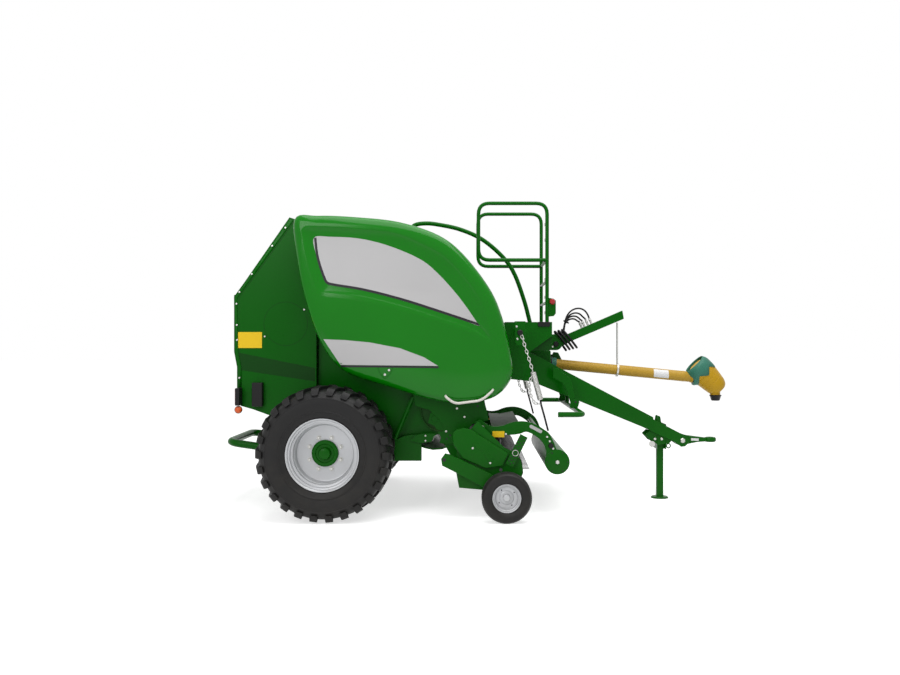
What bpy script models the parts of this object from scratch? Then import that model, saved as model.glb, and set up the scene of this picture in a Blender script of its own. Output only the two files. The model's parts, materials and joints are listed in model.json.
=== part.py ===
"""Towed round baler with a fixed chamber of steel rollers, as separate solids on their joint axes.

Metres. While the pieces are modelled X runs forward from the main axle, Y to the machine's left and
Z up from the ground. Each finished piece is then moved back so that the origin is on the ground
under the middle of the machine.
"""
import math

import bmesh
import bpy
from mathutils import Matrix, Vector

# Driving sizes of the whole machine
FRONT_REACH = 3.60
REAR_REACH = 1.00
GAP = 0.0003
RUN_GAP = 0.006
FIT_GAP = 0.0006
OVERRUN = 0.01
MERGE = 0.00001
ORIGIN_X = (FRONT_REACH - REAR_REACH) / 2
SIDES = (("right", -1), ("left", 1))

# Road wheels
TYRE_R = 0.555
TYRE_W = 0.55
WHEEL_Y = 0.995
RIM_R = 0.280
RIM_FLANGE_R = 0.298
RIM_W = 0.50
HUB_R = 0.11
AXLE_R = 0.042
AXLE_Z = TYRE_R

# Bale chamber
CHAMBER_X = 0.02
CHAMBER_Z = 1.62
CHAMBER_HALF_W = 0.615
ROLLER_R = 0.10
ROLLER_RING_R = 0.735
WALL_T = 0.020
SHAFT_R = 0.03

# Tailgate
HINGE_X = -0.10
HINGE_Z = 2.47
SPLIT_X = -0.14
GATE_SIDE_Y = 0.70
HINGE_TUBE_R = 0.03
HINGE_ROD_R = 0.016

# Side covers
COVER_OUT_Y = 1.00
COVER_RIM_Y = 0.84
COVER_REAR_X = -0.295
COVER_LOW_Z = 0.955
COVER_LONG = 1.843
COVER_HIGH = 1.579
COVER_WALL = 0.025

# Pick-up, feed rotor and crop press
ROTOR_X = 0.885
ROTOR_Z = 0.807
REEL_X = 1.45
REEL_Z = 0.40
PRESS_X = 1.258
PRESS_Z = 0.773
PRESS_PIN_R = 0.016
PRESS_ARM_Y = 0.86
PLATE_T = 0.012

# Front frame, drawbar and drive shaft
DECK_Z = 1.645
DECK_REAR_X = 1.498
DECK_FRONT_X = 1.91
DECK_HALF_W = CHAMBER_HALF_W - GAP
HITCH_X = 3.19
HITCH_Z = 0.563
SHAFT_REAR_X = 2.002
SHAFT_REAR_Z = 1.262
SHAFT_SLOPE = math.radians(5.45)
JACK_X = 2.98


def material(name, colour, roughness, metallic=0.0):
    """Principled material with the piece's colour, roughness and metallic value."""
    made = bpy.data.materials.get(name)
    if made:
        return made
    made = bpy.data.materials.new(name)
    made.use_nodes = True
    made.diffuse_color = (*colour, 1.0)
    shader = made.node_tree.nodes["Principled BSDF"]
    shader.inputs["Base Color"].default_value = (*colour, 1.0)
    shader.inputs["Roughness"].default_value = roughness
    shader.inputs["Metallic"].default_value = metallic
    return made


def green():
    """Bright gloss paint of covers and wheels' hubs."""
    return material("cover_green", (0.03, 0.27, 0.02), 0.3)


def dark_green():
    """Deeper green paint of the tailgate, frames and drawbar."""
    return material("frame_green", (0.01, 0.16, 0.01), 0.4)


def black():
    """Black plastic and rubber pieces."""
    return material("black_trim", (0.02, 0.02, 0.02), 0.6)


def tyre_black():
    """Tyre rubber."""
    return material("tyre_rubber", (0.018, 0.018, 0.018), 0.85)


def rim_silver():
    """Silver paint of the rims."""
    return material("rim_silver", (0.55, 0.56, 0.57), 0.35, 0.4)


def zinc():
    """Plated steel of chains, rods and tines."""
    return material("zinc_steel", (0.5, 0.5, 0.48), 0.4, 0.8)


def yellow():
    """Yellow plastic of the drive shaft guard."""
    return material("guard_yellow", (0.55, 0.35, 0.04), 0.5)


def placed(name, solid, finish, pivot=(0.0, 0.0, 0.0), smooth_below=40):
    """Turn a bmesh into a named object whose origin is on its pivot."""
    mesh = bpy.data.meshes.new(name)
    bmesh.ops.recalc_face_normals(solid, faces=solid.faces)
    bmesh.ops.translate(solid, verts=solid.verts, vec=-Vector(pivot))
    solid.to_mesh(mesh)
    solid.free()
    mesh.shade_smooth()
    mesh.set_sharp_from_angle(angle=math.radians(smooth_below))
    thing = bpy.data.objects.new(name, mesh)
    bpy.context.scene.collection.objects.link(thing)
    thing.location = Vector(pivot) - Vector((ORIGIN_X, 0.0, 0.0))
    mesh.materials.append(finish)
    return thing


def merged(solids):
    """Gather several bmesh shells into one."""
    whole = bmesh.new()
    for solid in solids:
        bmesh.ops.recalc_face_normals(solid, faces=solid.faces)
        carrier = bpy.data.meshes.new("carrier")
        solid.to_mesh(carrier)
        solid.free()
        whole.from_mesh(carrier)
        bpy.data.meshes.remove(carrier)
    return whole


def boolean(base, other, operation):
    """Union or difference of two bmeshes by the exact solver."""
    things = []
    for label, solid in (("base", base), ("other", other)):
        bmesh.ops.recalc_face_normals(solid, faces=solid.faces)
        mesh = bpy.data.meshes.new(label)
        solid.to_mesh(mesh)
        solid.free()
        thing = bpy.data.objects.new(label, mesh)
        bpy.context.scene.collection.objects.link(thing)
        things.append(thing)
    cut = things[0].modifiers.new("cut", "BOOLEAN")
    cut.operation = operation
    cut.solver = "EXACT"
    cut.use_self = True
    cut.object = things[1]
    depsgraph = bpy.context.evaluated_depsgraph_get()
    made = bpy.data.meshes.new_from_object(things[0].evaluated_get(depsgraph))
    result = bmesh.new()
    result.from_mesh(made)
    bpy.data.meshes.remove(made)
    for thing in things:
        mesh = thing.data
        bpy.data.objects.remove(thing)
        bpy.data.meshes.remove(mesh)
    bmesh.ops.dissolve_limit(
        result, angle_limit=math.radians(0.05), verts=result.verts, edges=result.edges)
    return result


def fused(solids, cuts=()):
    """One closed body from overlapping shells, less the cutting shells."""
    solids = list(solids)
    result = solids[0]
    if len(solids) > 1:
        result = boolean(result, merged(solids[1:]), "UNION")
    if cuts:
        result = boolean(result, merged(cuts), "DIFFERENCE")
    return result


def skin(loops, round_trip=False):
    """Closed solid through loops of equally many points, capped at both ends unless it goes round."""
    solid = bmesh.new()
    rings = [[solid.verts.new(point) for point in loop] for loop in loops]
    pairs = list(zip(rings, rings[1:]))
    if round_trip:
        pairs.append((rings[-1], rings[0]))
    for one, two in pairs:
        for here in range(len(one)):
            after = (here + 1) % len(one)
            solid.faces.new((one[here], one[after], two[after], two[here]))
    if not round_trip:
        solid.faces.new(rings[0])
        solid.faces.new(rings[-1])
    bmesh.ops.recalc_face_normals(solid, faces=solid.faces)
    return solid


def prism(outline, y_from, y_to):
    """Plate with an X-Z outline that runs along Y."""
    return skin([[(x, y, z) for x, z in outline] for y in (y_from, y_to)])


def block(low, high):
    """Box between two corners."""
    outline = ((low[0], low[2]), (high[0], low[2]), (high[0], high[2]), (low[0], high[2]))
    return prism(outline, low[1], high[1])


def rod(start, end, radius, sides=12, turn_share=0.0):
    """Round bar between two points; turn_share turns its corners by that share of a side."""
    start, end = Vector(start), Vector(end)
    solid = bmesh.new()
    bmesh.ops.create_cone(solid, cap_ends=True, segments=sides, radius1=radius, radius2=radius,
                          depth=(end - start).length)
    bmesh.ops.transform(solid, matrix=Matrix.Rotation(math.tau / sides * turn_share, 4, "Z"), verts=solid.verts)
    turn = Vector((0, 0, 1)).rotation_difference(end - start).to_matrix().to_4x4()
    bmesh.ops.transform(solid, matrix=Matrix.Translation((start + end) / 2) @ turn, verts=solid.verts)
    return solid


def turned(profile, sides, centre, axis=(0, 1, 0)):
    """Ring or disc: points (radius, distance along the axis) spun about an axis through centre."""
    solid = bmesh.new()
    verts = [solid.verts.new((radius, along, 0.0)) for radius, along in profile]
    edges = [solid.edges.new(pair) for pair in zip(verts, verts[1:])]
    if profile[0][0] > 0:
        edges.append(solid.edges.new((verts[-1], verts[0])))
    bmesh.ops.spin(solid, geom=verts + edges, cent=(0, 0, 0), axis=(0, 1, 0), angle=math.tau,
                   steps=sides, use_merge=True)
    bmesh.ops.remove_doubles(solid, verts=solid.verts, dist=MERGE)
    bmesh.ops.recalc_face_normals(solid, faces=solid.faces)
    turn = Vector((0, 1, 0)).rotation_difference(Vector(axis)).to_matrix().to_4x4()
    bmesh.ops.transform(solid, matrix=Matrix.Translation(centre) @ turn, verts=solid.verts)
    return solid


def bent(corners, radius, steps=4):
    """Route of straight runs whose inner corners are round bends."""
    corners = [Vector(corner) for corner in corners]
    route = [corners[0]]
    for before, corner, after in zip(corners, corners[1:], corners[2:]):
        into = (before - corner).normalized()
        out = (after - corner).normalized()
        half = into.angle(out) / 2
        reach = min(radius / math.tan(half), (before - corner).length / 2, (after - corner).length / 2)
        bow = reach * math.tan(half)
        middle = corner + (into + out).normalized() * (bow / math.sin(half))
        start = corner + into * reach - middle
        normal = start.cross(corner + out * reach - middle).normalized()
        sweep = math.pi - 2 * half
        for step in range(steps + 1):
            route.append(middle + Matrix.Rotation(sweep * step / steps, 3, normal) @ start)
    route.append(corners[-1])
    return route


def pipe(route, radius, sides=8):
    """Solid round tube along a route, mitred at each point."""
    route = [Vector(point) for point in route]
    runs = [(two - one).normalized() for one, two in zip(route, route[1:])]
    across = runs[0].orthogonal().normalized()
    loops = []
    for index, point in enumerate(route):
        before = runs[max(index - 1, 0)]
        after = runs[min(index, len(runs) - 1)]
        if index:
            across = before.rotation_difference(after) @ across
        lean = (before + after).normalized()
        loop = []
        for side in range(sides):
            spoke = Matrix.Rotation(math.tau * side / sides, 3, after) @ across * radius
            slip = -spoke.dot(lean) / after.dot(lean)
            loop.append(point + spoke + after * slip)
        loops.append(loop)
    return skin(loops)


def arc(centre, radius, start, end, steps):
    """Points (x, z) on an arc, angles in degrees from forward towards up."""
    angles = [math.radians(start + (end - start) * step / steps) for step in range(steps + 1)]
    return [(centre[0] + radius * math.cos(a), centre[1] + radius * math.sin(a)) for a in angles]


def round_it(radius, sides):
    """Corner radius of a polygon whose flats clear a circle by the standing gap."""
    return (radius + GAP) / math.cos(math.pi / sides)


def bore_r(pin_r, sides):
    """Corner radius of a polygonal hole that runs on a round pin."""
    return (pin_r + FIT_GAP) / math.cos(math.pi / sides)


def bore(start, end, pin_r, sides=12):
    """Cutting bar of a hole that runs on a pin of so many sides, its flats over the pin's corners."""
    return rod(start, end, bore_r(pin_r, sides), sides, 0.5)


def inset(outline, by):
    """Closed outline moved inwards by a distance, with mitred corners."""
    area = sum(a[0] * b[1] - b[0] * a[1] for a, b in zip(outline, outline[1:] + outline[:1]))
    sign = 1 if area > 0 else -1
    made = []
    count = len(outline)
    for here in range(count):
        point = Vector(outline[here])
        into = (point - Vector(outline[here - 1])).normalized()
        out = (Vector(outline[(here + 1) % count]) - point).normalized()
        normal_in = Vector((-into.y, into.x)) * sign
        normal_out = Vector((-out.y, out.x)) * sign
        lean = (normal_in + normal_out).normalized()
        made.append(tuple(point + lean * by / max(lean.dot(normal_in), 0.5)))
    return made


# Road wheel: tyre with slanted lugs, rim with its hub
LUG_HIGH = 0.022
LUG_TAPER = 0.006
LUGS = 26
TYRE_CROWN = 0.012
TYRE_SHOULDER_W = 0.225
TYRE_BULGE_R = 0.43
BEAD_W = 0.016
FLANGE_T = 0.015
RIM_T = 0.012
DISC_SET = 0.165
DISC_T = 0.015
HUB_OUT = 0.06
HUB_IN = 0.16
HUB_CAP_T = 0.02


def tyre(name, wheel_y):
    """Wide low tyre; every other face of each half of the tread stands up as a lug."""
    half_rim = RIM_W / 2
    tread_r = TYRE_R - LUG_HIGH
    bead = half_rim - FLANGE_T - BEAD_W
    half = [
        (round_it(RIM_R, LUGS * 2), bead), (round_it(RIM_FLANGE_R, LUGS * 2), half_rim - BEAD_W), (TYRE_BULGE_R, TYRE_W / 2),
        (tread_r - TYRE_CROWN, TYRE_SHOULDER_W + BEAD_W), (tread_r, TYRE_SHOULDER_W)]
    profile = [(r, -w) for r, w in half] + [(tread_r, 0.0)] + [(r, w) for r, w in reversed(half)]
    solid = turned(profile, LUGS * 2, (0, 0, 0))
    slant = Matrix.Rotation(math.tau / (LUGS * 2), 4, "Y")
    middle = [v for v in solid.verts if abs(v.co.y) < MERGE and v.co.xz.length > TYRE_BULGE_R]
    bmesh.ops.transform(solid, matrix=slant, verts=middle)
    lugs = []
    for face in solid.faces:
        centre = face.calc_center_median()
        flat = all(v.co.xz.length > tread_r - MERGE for v in face.verts)
        shoulder = [v.co for v in face.verts if abs(v.co.y) > MERGE]
        if not flat or not shoulder:
            continue
        edge = (shoulder[0] + shoulder[1]) / 2
        turn = math.atan2(edge.z, edge.x) / math.tau * LUGS * 2
        if int(round(turn - 0.5)) % 2 == (0 if centre.y > 0 else 1):
            lugs.append(face)
    bmesh.ops.inset_individual(solid, faces=lugs, thickness=LUG_TAPER, depth=LUG_HIGH)
    bmesh.ops.translate(solid, verts=solid.verts, vec=(0, wheel_y, AXLE_Z))
    placed(name, solid, tyre_black(), (0, wheel_y, AXLE_Z))


def rim(name, side):
    """Drum with two flanges, a dished disc set in from the outer face, and the hub."""
    half = RIM_W / 2
    drum_in = RIM_R - RIM_T
    disc_out = half - DISC_SET
    disc_in = disc_out - DISC_T
    hub_out = disc_out + HUB_OUT
    profile = [
        (0.0, hub_out), (HUB_R, hub_out), (HUB_R, disc_out), (drum_in, disc_out), (drum_in, half),
        (RIM_FLANGE_R, half), (RIM_FLANGE_R, half - FLANGE_T), (RIM_R, half - FLANGE_T * 2),
        (RIM_R, FLANGE_T * 2 - half), (RIM_FLANGE_R, FLANGE_T - half), (RIM_FLANGE_R, -half),
        (drum_in, -half), (drum_in, disc_in), (HUB_R, disc_in), (HUB_R, disc_in - HUB_IN),
        (bore_r(AXLE_R, LUGS), disc_in - HUB_IN), (bore_r(AXLE_R, LUGS), hub_out - HUB_CAP_T),
        (0.0, hub_out - HUB_CAP_T)]
    centre = (0, side * WHEEL_Y, AXLE_Z)
    placed(name, turned(profile, LUGS, centre, (0, side, 0)), rim_silver(), centre)


# Axle beam with the brackets of the bale ramp
BEAM_HALF = 0.06
STUB_IN = RIM_W / 2 - DISC_SET - HUB_CAP_T
RAMP_PIVOT_X = -0.45
RAMP_PIVOT_Z = 0.50
RAMP_HALF_W = 0.45
RAMP_TUBE_R = 0.034
RAMP_BRACKET_T = 0.012
RAMP_PIN_R = 0.012
FRAME_IN_Y = CHAMBER_HALF_W + WALL_T + GAP
FRAME_OUT_Y = GATE_SIDE_Y


def axle_beam():
    """Square beam between the side frames, with two arms back to the bale ramp's pivots."""
    low = (-BEAM_HALF, -FRAME_IN_Y + GAP, AXLE_Z - BEAM_HALF)
    high = (BEAM_HALF, FRAME_IN_Y - GAP, AXLE_Z + BEAM_HALF)
    solids = [block(low, high)]
    for name, side in SIDES:
        inner = side * (RAMP_HALF_W - RAMP_TUBE_R - RUN_GAP - RAMP_BRACKET_T)
        outer = side * (RAMP_HALF_W - RAMP_TUBE_R - RUN_GAP)
        outline = (
            (0.0, AXLE_Z - BEAM_HALF / 2), (RAMP_PIVOT_X - RAMP_TUBE_R, RAMP_PIVOT_Z - RAMP_TUBE_R),
            (RAMP_PIVOT_X - RAMP_TUBE_R, RAMP_PIVOT_Z + RAMP_TUBE_R), (0.0, AXLE_Z + BEAM_HALF / 2))
        solids.append(prism(outline, inner, outer))
        solids.append(rod((RAMP_PIVOT_X, inner, RAMP_PIVOT_Z),
                          (RAMP_PIVOT_X, side * (RAMP_HALF_W + RAMP_TUBE_R), RAMP_PIVOT_Z), RAMP_PIN_R, 8))
    placed("axle_beam", fused(solids), dark_green())


# Side frame: deep folded plate outside the chamber wall, with stub axle, drive disc and strut
FRAME_LOW_Z = 0.44
FRAME_FRONT_X = 0.77
FRAME_REAR_X = -0.12
FRAME_HOLLOW_R = 0.30
DRIVE_DISC_R = 0.11
DRIVE_DISC_OUT_Y = 0.76
STRUT_TOP = (0.697, 0.994)
STRUT_FOOT = (0.541, 0.630)
STRUT_R = 0.02


def side_frame(name, side):
    """Longitudinal frame plate that carries the stub axle, the drive disc and a strut."""
    hollow = arc((FRAME_FRONT_X - FRAME_HOLLOW_R, AXLE_Z + BEAM_HALF + FRAME_HOLLOW_R),
                 FRAME_HOLLOW_R, -60, -110, 5)
    outline = [
        (FRAME_REAR_X, FRAME_LOW_Z), (FRAME_FRONT_X, FRAME_LOW_Z),
        (FRAME_FRONT_X, AXLE_Z + BEAM_HALF * 2)] + hollow + [
        (FRAME_REAR_X, AXLE_Z + BEAM_HALF * 2)]
    plate = prism(outline, side * FRAME_IN_Y, side * FRAME_OUT_Y)
    stub_end = side * (WHEEL_Y + STUB_IN)
    stub = rod((0, side * FRAME_IN_Y, AXLE_Z), (0, stub_end - side * RUN_GAP, AXLE_Z), AXLE_R, 16)
    placed(name, fused([plate, stub]), dark_green())


# Front half of the bale chamber: two walls with the rollers between them
REAR_EDGE_X = SPLIT_X + 0.01
HOOD_DROP = 0.045
FRONT_ROLLERS_DEG = (-95, -75, -20, 0, 20, 40, 60, 80)
GATE_ROLLERS_DEG = (105, 125, 145, 165, 185, 205, 225, 245)
ROLLER_SIDES = 10
ROLLER_END_GAP = 0.012
RAM_Y = 0.775
RAM_FOOT_X = 0.55
RAM_FOOT_Z = 1.15
RAM_PIN_R = 0.02
RAM_EYE_HALF_W = 0.03


def chamber_roller(angle):
    """Roller drum on its shaft, which runs into both walls."""
    turn = math.radians(angle)
    x = CHAMBER_X + ROLLER_RING_R * math.cos(turn)
    z = CHAMBER_Z + ROLLER_RING_R * math.sin(turn)
    drum = CHAMBER_HALF_W - ROLLER_END_GAP
    shaft = CHAMBER_HALF_W + WALL_T / 2
    profile = [
        (0.0, -shaft), (SHAFT_R, -shaft), (SHAFT_R, -drum), (ROLLER_R, -drum), (ROLLER_R, drum),
        (SHAFT_R, drum), (SHAFT_R, shaft), (0.0, shaft)]
    return turned(profile, ROLLER_SIDES, (x, 0, z))


def cover_point(x_share, z_share):
    """Place on the side cover given as shares of its length and height."""
    return (COVER_REAR_X + COVER_LONG * x_share, COVER_LOW_Z + COVER_HIGH * z_share)


# Cover outline and the edge of its recess: x, z of the outline, then x, z of the recess
COVER_SHARES = (
    (0.005, 0.978, 0.106, 0.874),
    (0.115, 1.000, 0.176, 0.882),
    (0.296, 0.992, 0.310, 0.872),
    (0.486, 0.966, 0.445, 0.832),
    (0.664, 0.896, 0.581, 0.764),
    (0.779, 0.791, 0.659, 0.690),
    (0.894, 0.617, 0.741, 0.586),
    (0.951, 0.469, 0.795, 0.503),
    (0.993, 0.269, 0.836, 0.428),
    (0.996, 0.136, 0.848, 0.402),
    (0.920, 0.035, 0.784, 0.435),
    (0.779, 0.001, 0.648, 0.490),
    (0.621, 0.024, 0.491, 0.548),
    (0.431, 0.090, 0.323, 0.597),
    (0.269, 0.149, 0.193, 0.624),
    (0.187, 0.218, 0.157, 0.643),
    (0.121, 0.337, 0.138, 0.681),
    (0.069, 0.502, 0.122, 0.738),
    (0.023, 0.724, 0.109, 0.801),
)
HOOD_FIRST = 2
HOOD_LAST = 7
HOOD_REAR_X = 0.02
HOOD_T = 0.012


def hood_line(drop):
    """Points of the hood from its rear edge to its front edge, a distance below the covers' outline."""
    outline = [cover_point(row[0], row[1]) for row in COVER_SHARES]
    lower = inset(outline, drop)
    rear = cover_point(COVER_SHARES[HOOD_FIRST][0], COVER_SHARES[HOOD_FIRST][1])
    points = [(HOOD_REAR_X, rear[1] - drop)] + lower[HOOD_FIRST:HOOD_LAST + 1]
    return points


WALL_FRONT_X = DECK_REAR_X - 0.012
WALL_CHIN = (1.10, 1.02)
WALL_ROTOR = (1.06, 0.70)
WALL_TAIL = (0.66, 0.60)
ROTOR_BOSS_R = 0.05


def chamber_front():
    """Side walls of the front half with all their rollers, and the pins of the tailgate rams."""
    top = hood_line(HOOD_DROP + HOOD_T + GAP)
    low_z = AXLE_Z + BEAM_HALF + GAP
    top = [point for point in top if point[0] < WALL_FRONT_X]
    ear = arc((HINGE_X, HINGE_Z), HINGE_TUBE_R, 180, 0, 4)
    outline = [(REAR_EDGE_X, low_z)] + ear + [(HINGE_X + HINGE_TUBE_R, HINGE_Z - HINGE_TUBE_R)] + top + [
        (WALL_FRONT_X, top[-1][1] - HOOD_DROP), (WALL_FRONT_X, DECK_Z - DECK_FALL),
        WALL_CHIN, WALL_ROTOR, WALL_TAIL, (FRAME_FRONT_X / 2, low_z)]
    solids = []
    for name, side in SIDES:
        wall = prism(outline, side * CHAMBER_HALF_W, side * (CHAMBER_HALF_W + WALL_T))
        solids.append(wall)
        pin_end = RAM_Y + RAM_EYE_HALF_W
        solids.append(rod((HINGE_X, side * (CHAMBER_HALF_W + WALL_T / 2), HINGE_Z),
                          (HINGE_X, side * GATE_SIDE_Y, HINGE_Z), HINGE_ROD_R))
        boss_y = side * (CHAMBER_HALF_W + WALL_T / 2)
        solids.append(rod((ROTOR_X, boss_y, ROTOR_Z), (ROTOR_X, side * GATE_SIDE_Y, ROTOR_Z), ROTOR_BOSS_R, 14))
        solids.append(rod((ROTOR_X, boss_y, ROTOR_Z), (ROTOR_X, side * (ARM_IN_Y + PLATE_T), ROTOR_Z), SHAFT_R))
        solids.append(rod((RAM_FOOT_X, side * (CHAMBER_HALF_W + WALL_T / 2), RAM_FOOT_Z),
                          (RAM_FOOT_X, side * pin_end, RAM_FOOT_Z), RAM_PIN_R))
    solids += [chamber_roller(angle) for angle in FRONT_ROLLERS_DEG]
    bore_end = CHAMBER_HALF_W + WALL_T + RUN_GAP * 2
    cuts = [bore((ROTOR_X, -bore_end, ROTOR_Z), (ROTOR_X, bore_end, ROTOR_Z), SHAFT_R)]
    placed("chamber_front", fused(solids, cuts), zinc())


DECK_FALL = 0.245


def hood():
    """Curved top sheet between the covers, with the hinge pins of the covers on its edges."""
    upper = hood_line(HOOD_DROP)
    lower = hood_line(HOOD_DROP + HOOD_T)
    outline = upper + lower[::-1]
    half = COVER_RIM_Y - HOOD_EDGE_GAP
    solids = [prism(outline, -half, half)]
    for name, side in SIDES:
        for x in COVER_HINGE_XS:
            solids.append(rod((x - HINGE_PIN_LONG / 2, side * COVER_HINGE_Y, COVER_HINGE_Z),
                              (x + HINGE_PIN_LONG / 2, side * COVER_HINGE_Y, COVER_HINGE_Z),
                              HINGE_PIN_R, 8, 0.5))
            foot_y = side * (half - HINGE_PIN_R)
            tip_y = side * (COVER_HINGE_Y + HINGE_PIN_R / 2)
            low_z = hood_height(x) - HOOD_T / 2
            web_x = HINGE_WEB_T / 2
            solids.append(skin([
                [(x + web_x * way, foot_y, low_z), (x + web_x * way, side * half, low_z),
                 (x + web_x * way, side * half, COVER_HINGE_Z - HINGE_PIN_R / 3),
                 (x + web_x * way, tip_y, COVER_HINGE_Z - HINGE_PIN_R / 3),
                 (x + web_x * way, tip_y, COVER_HINGE_Z + HINGE_PIN_R / 2),
                 (x + web_x * way, foot_y, COVER_HINGE_Z)] for way in (-1, 1)]))
    placed("hood", fused(solids), green())


HOOD_EDGE_GAP = 0.02
COVER_HINGE_XS = (0.10, 0.55)
COVER_HINGE_Y = 0.85
COVER_HINGE_Z = 2.54
HINGE_PIN_R = 0.009
HINGE_PIN_LONG = 0.12
HINGE_WEB_T = 0.02
HINGE_EYE_R = 0.018
HINGE_EYE_W = 0.03
PIN_GAP = 0.001


def hood_height(x):
    """Height of the hood's upper face at a place along it."""
    line = hood_line(HOOD_DROP)
    for one, two in zip(line, line[1:]):
        if one[0] <= x <= two[0]:
            return one[1] + (two[1] - one[1]) * (x - one[0]) / (two[0] - one[0])
    return line[-1][1]


# Side cover: moulded dish with a rolled edge and a recessed field
COVER_ROLL = 0.07
COVER_EDGE_IN = 0.010
RECESS_DEEP = 0.018
RECESS_SLOPE = 0.012


def side_cover(name, side):
    """Moulded shell, open inwards, whose outer skin steps down into the recess."""
    outline = [cover_point(row[0], row[1]) for row in COVER_SHARES]
    recess = [cover_point(row[2], row[3]) for row in COVER_SHARES]
    face = COVER_OUT_Y
    floor = COVER_OUT_Y - RECESS_DEEP
    outer = [
        (outline, COVER_RIM_Y), (outline, face - COVER_ROLL),
        (inset(outline, COVER_EDGE_IN), face - COVER_ROLL / 3),
        (inset(outline, COVER_ROLL / 2), face), (recess, face),
        (inset(recess, RECESS_SLOPE), floor)]
    inner = [
        (inset(recess, RECESS_SLOPE), floor - COVER_WALL), (recess, face - COVER_WALL),
        (inset(outline, COVER_ROLL / 2 + COVER_WALL), face - COVER_WALL),
        (inset(outline, COVER_WALL), face - COVER_ROLL), (inset(outline, COVER_WALL), COVER_RIM_Y)]
    loops = [[(x, side * y, z) for x, z in line] for line, y in outer + inner]
    solid = bmesh.new()
    rings = [[solid.verts.new(point) for point in loop] for loop in loops]
    seam = len(outer) - 1
    count = len(outline)
    for index, one in enumerate(rings):
        two = rings[(index + 1) % len(rings)]
        if index == seam:
            solid.faces.new(one)
            solid.faces.new(two)
            continue
        for here in range(count):
            after = (here + 1) % count
            solid.faces.new((one[here], one[after], two[after], two[here]))
    bmesh.ops.recalc_face_normals(solid, faces=solid.faces)
    solids = [solid]
    for x in COVER_HINGE_XS:
        for way in (-1, 1):
            start = x + way * (HINGE_WEB_T / 2 + RUN_GAP)
            profile = [
                (bore_r(HINGE_PIN_R, 8), 0.0), (HINGE_EYE_R, 0.0), (HINGE_EYE_R, HINGE_EYE_W),
                (bore_r(HINGE_PIN_R, 8), HINGE_EYE_W)]
            solids.append(turned(profile, 8, (start, side * COVER_HINGE_Y, COVER_HINGE_Z), (way, 0, 0)))
            end = start + way * HINGE_EYE_W
            low_y = side * (COVER_HINGE_Y + HINGE_EYE_R * 2)
            bottom = COVER_HINGE_Z - HINGE_EYE_R * 4
            solids.append(block(
                (min(start, end), min(side * (COVER_HINGE_Y + HINGE_PIN_R + PIN_GAP * 2), low_y), bottom),
                (max(start, end), max(side * (COVER_HINGE_Y + HINGE_PIN_R + PIN_GAP * 2), low_y),
                 COVER_HINGE_Z + HINGE_PIN_R)))
    pivot = (COVER_HINGE_XS[0], side * COVER_HINGE_Y, COVER_HINGE_Z)
    placed(name, fused(solids), green(), pivot)


# Tailgate frame: side panels with the rear rollers, and its hinge tube
GATE_SHARES = (
    (0.000, 0.960), (0.324, 1.000), (0.971, 0.625), (0.990, 0.624), (0.990, 0.350), (0.955, 0.275),
    (0.955, 0.177), (0.912, 0.088), (0.757, 0.070), (0.430, 0.022), (0.000, 0.000))
GATE_LONG = 0.72
GATE_LOW_Z = 0.76
GATE_HIGH = 1.79
GATE_LUG_T = 0.03
RAM_LEVER = 0.50
RAM_REST_DEG = -95


def gate_outline():
    """Side outline of the tailgate, from the hinge round the rear to the bottom."""
    return [(SPLIT_X - GATE_LONG * x, GATE_LOW_Z + GATE_HIGH * z) for x, z in GATE_SHARES]


def ram_eye_place():
    """Place of the ram's eye on the closed tailgate."""
    turn = math.radians(RAM_REST_DEG)
    return (HINGE_X + RAM_LEVER * math.cos(turn), HINGE_Z + RAM_LEVER * math.sin(turn))


def tailgate_frame():
    """Two side panels joined by the rear rollers and the hinge tube."""
    solids = []
    eye_x, eye_z = ram_eye_place()
    for name, side in SIDES:
        solids.append(prism(gate_outline(), side * CHAMBER_HALF_W, side * GATE_SIDE_Y))
        lug = [
            (eye_x - GATE_LUG_T, eye_z - GATE_LUG_T), (eye_x + GATE_LUG_T, eye_z - GATE_LUG_T),
            (eye_x + GATE_LUG_T, eye_z + GATE_LUG_T), (SPLIT_X - GATE_LUG_T * 3, eye_z + GATE_LUG_T * 3),
            (SPLIT_X - GATE_LUG_T * 3, eye_z - GATE_LUG_T * 2)]
        lug_out = RAM_Y - RAM_EYE_HALF_W - RUN_GAP
        solids.append(prism(lug, side * (GATE_SIDE_Y - GATE_LUG_T), side * lug_out))
        arm = [
            (HINGE_X + HINGE_TUBE_R, HINGE_Z - HINGE_TUBE_R), (HINGE_X + HINGE_TUBE_R, HINGE_Z + HINGE_TUBE_R),
            (SPLIT_X - GATE_LUG_T, HINGE_Z + HINGE_TUBE_R), (SPLIT_X - GATE_LUG_T, HINGE_Z - HINGE_TUBE_R)]
        solids.append(prism(arm, side * FRAME_IN_Y + side * RUN_GAP, side * GATE_SIDE_Y))
    solids += [chamber_roller(angle) for angle in GATE_ROLLERS_DEG]
    hole = bore((HINGE_X, -GATE_SIDE_Y - OVERRUN, HINGE_Z), (HINGE_X, GATE_SIDE_Y + OVERRUN, HINGE_Z),
                HINGE_ROD_R)
    placed("tailgate_frame", fused(solids, [hole]), dark_green(), (HINGE_X, 0, HINGE_Z))


# Rear sheet of the tailgate, between its side panels
SHEET_T = 0.010
SHEET_IN = 0.008


def tailgate_panel():
    """Folded rear sheet that closes the tailgate from its top edge to its bottom edge."""
    line = gate_outline()[1:9]
    outer = inset(gate_outline(), SHEET_IN)[1:9]
    inner = inset(gate_outline(), SHEET_IN + SHEET_T)[1:9]
    half = CHAMBER_HALF_W - GAP
    placed("tailgate_panel", prism(outer + inner[::-1], -half, half), dark_green(),
           (HINGE_X, 0, HINGE_Z))
    return line


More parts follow.
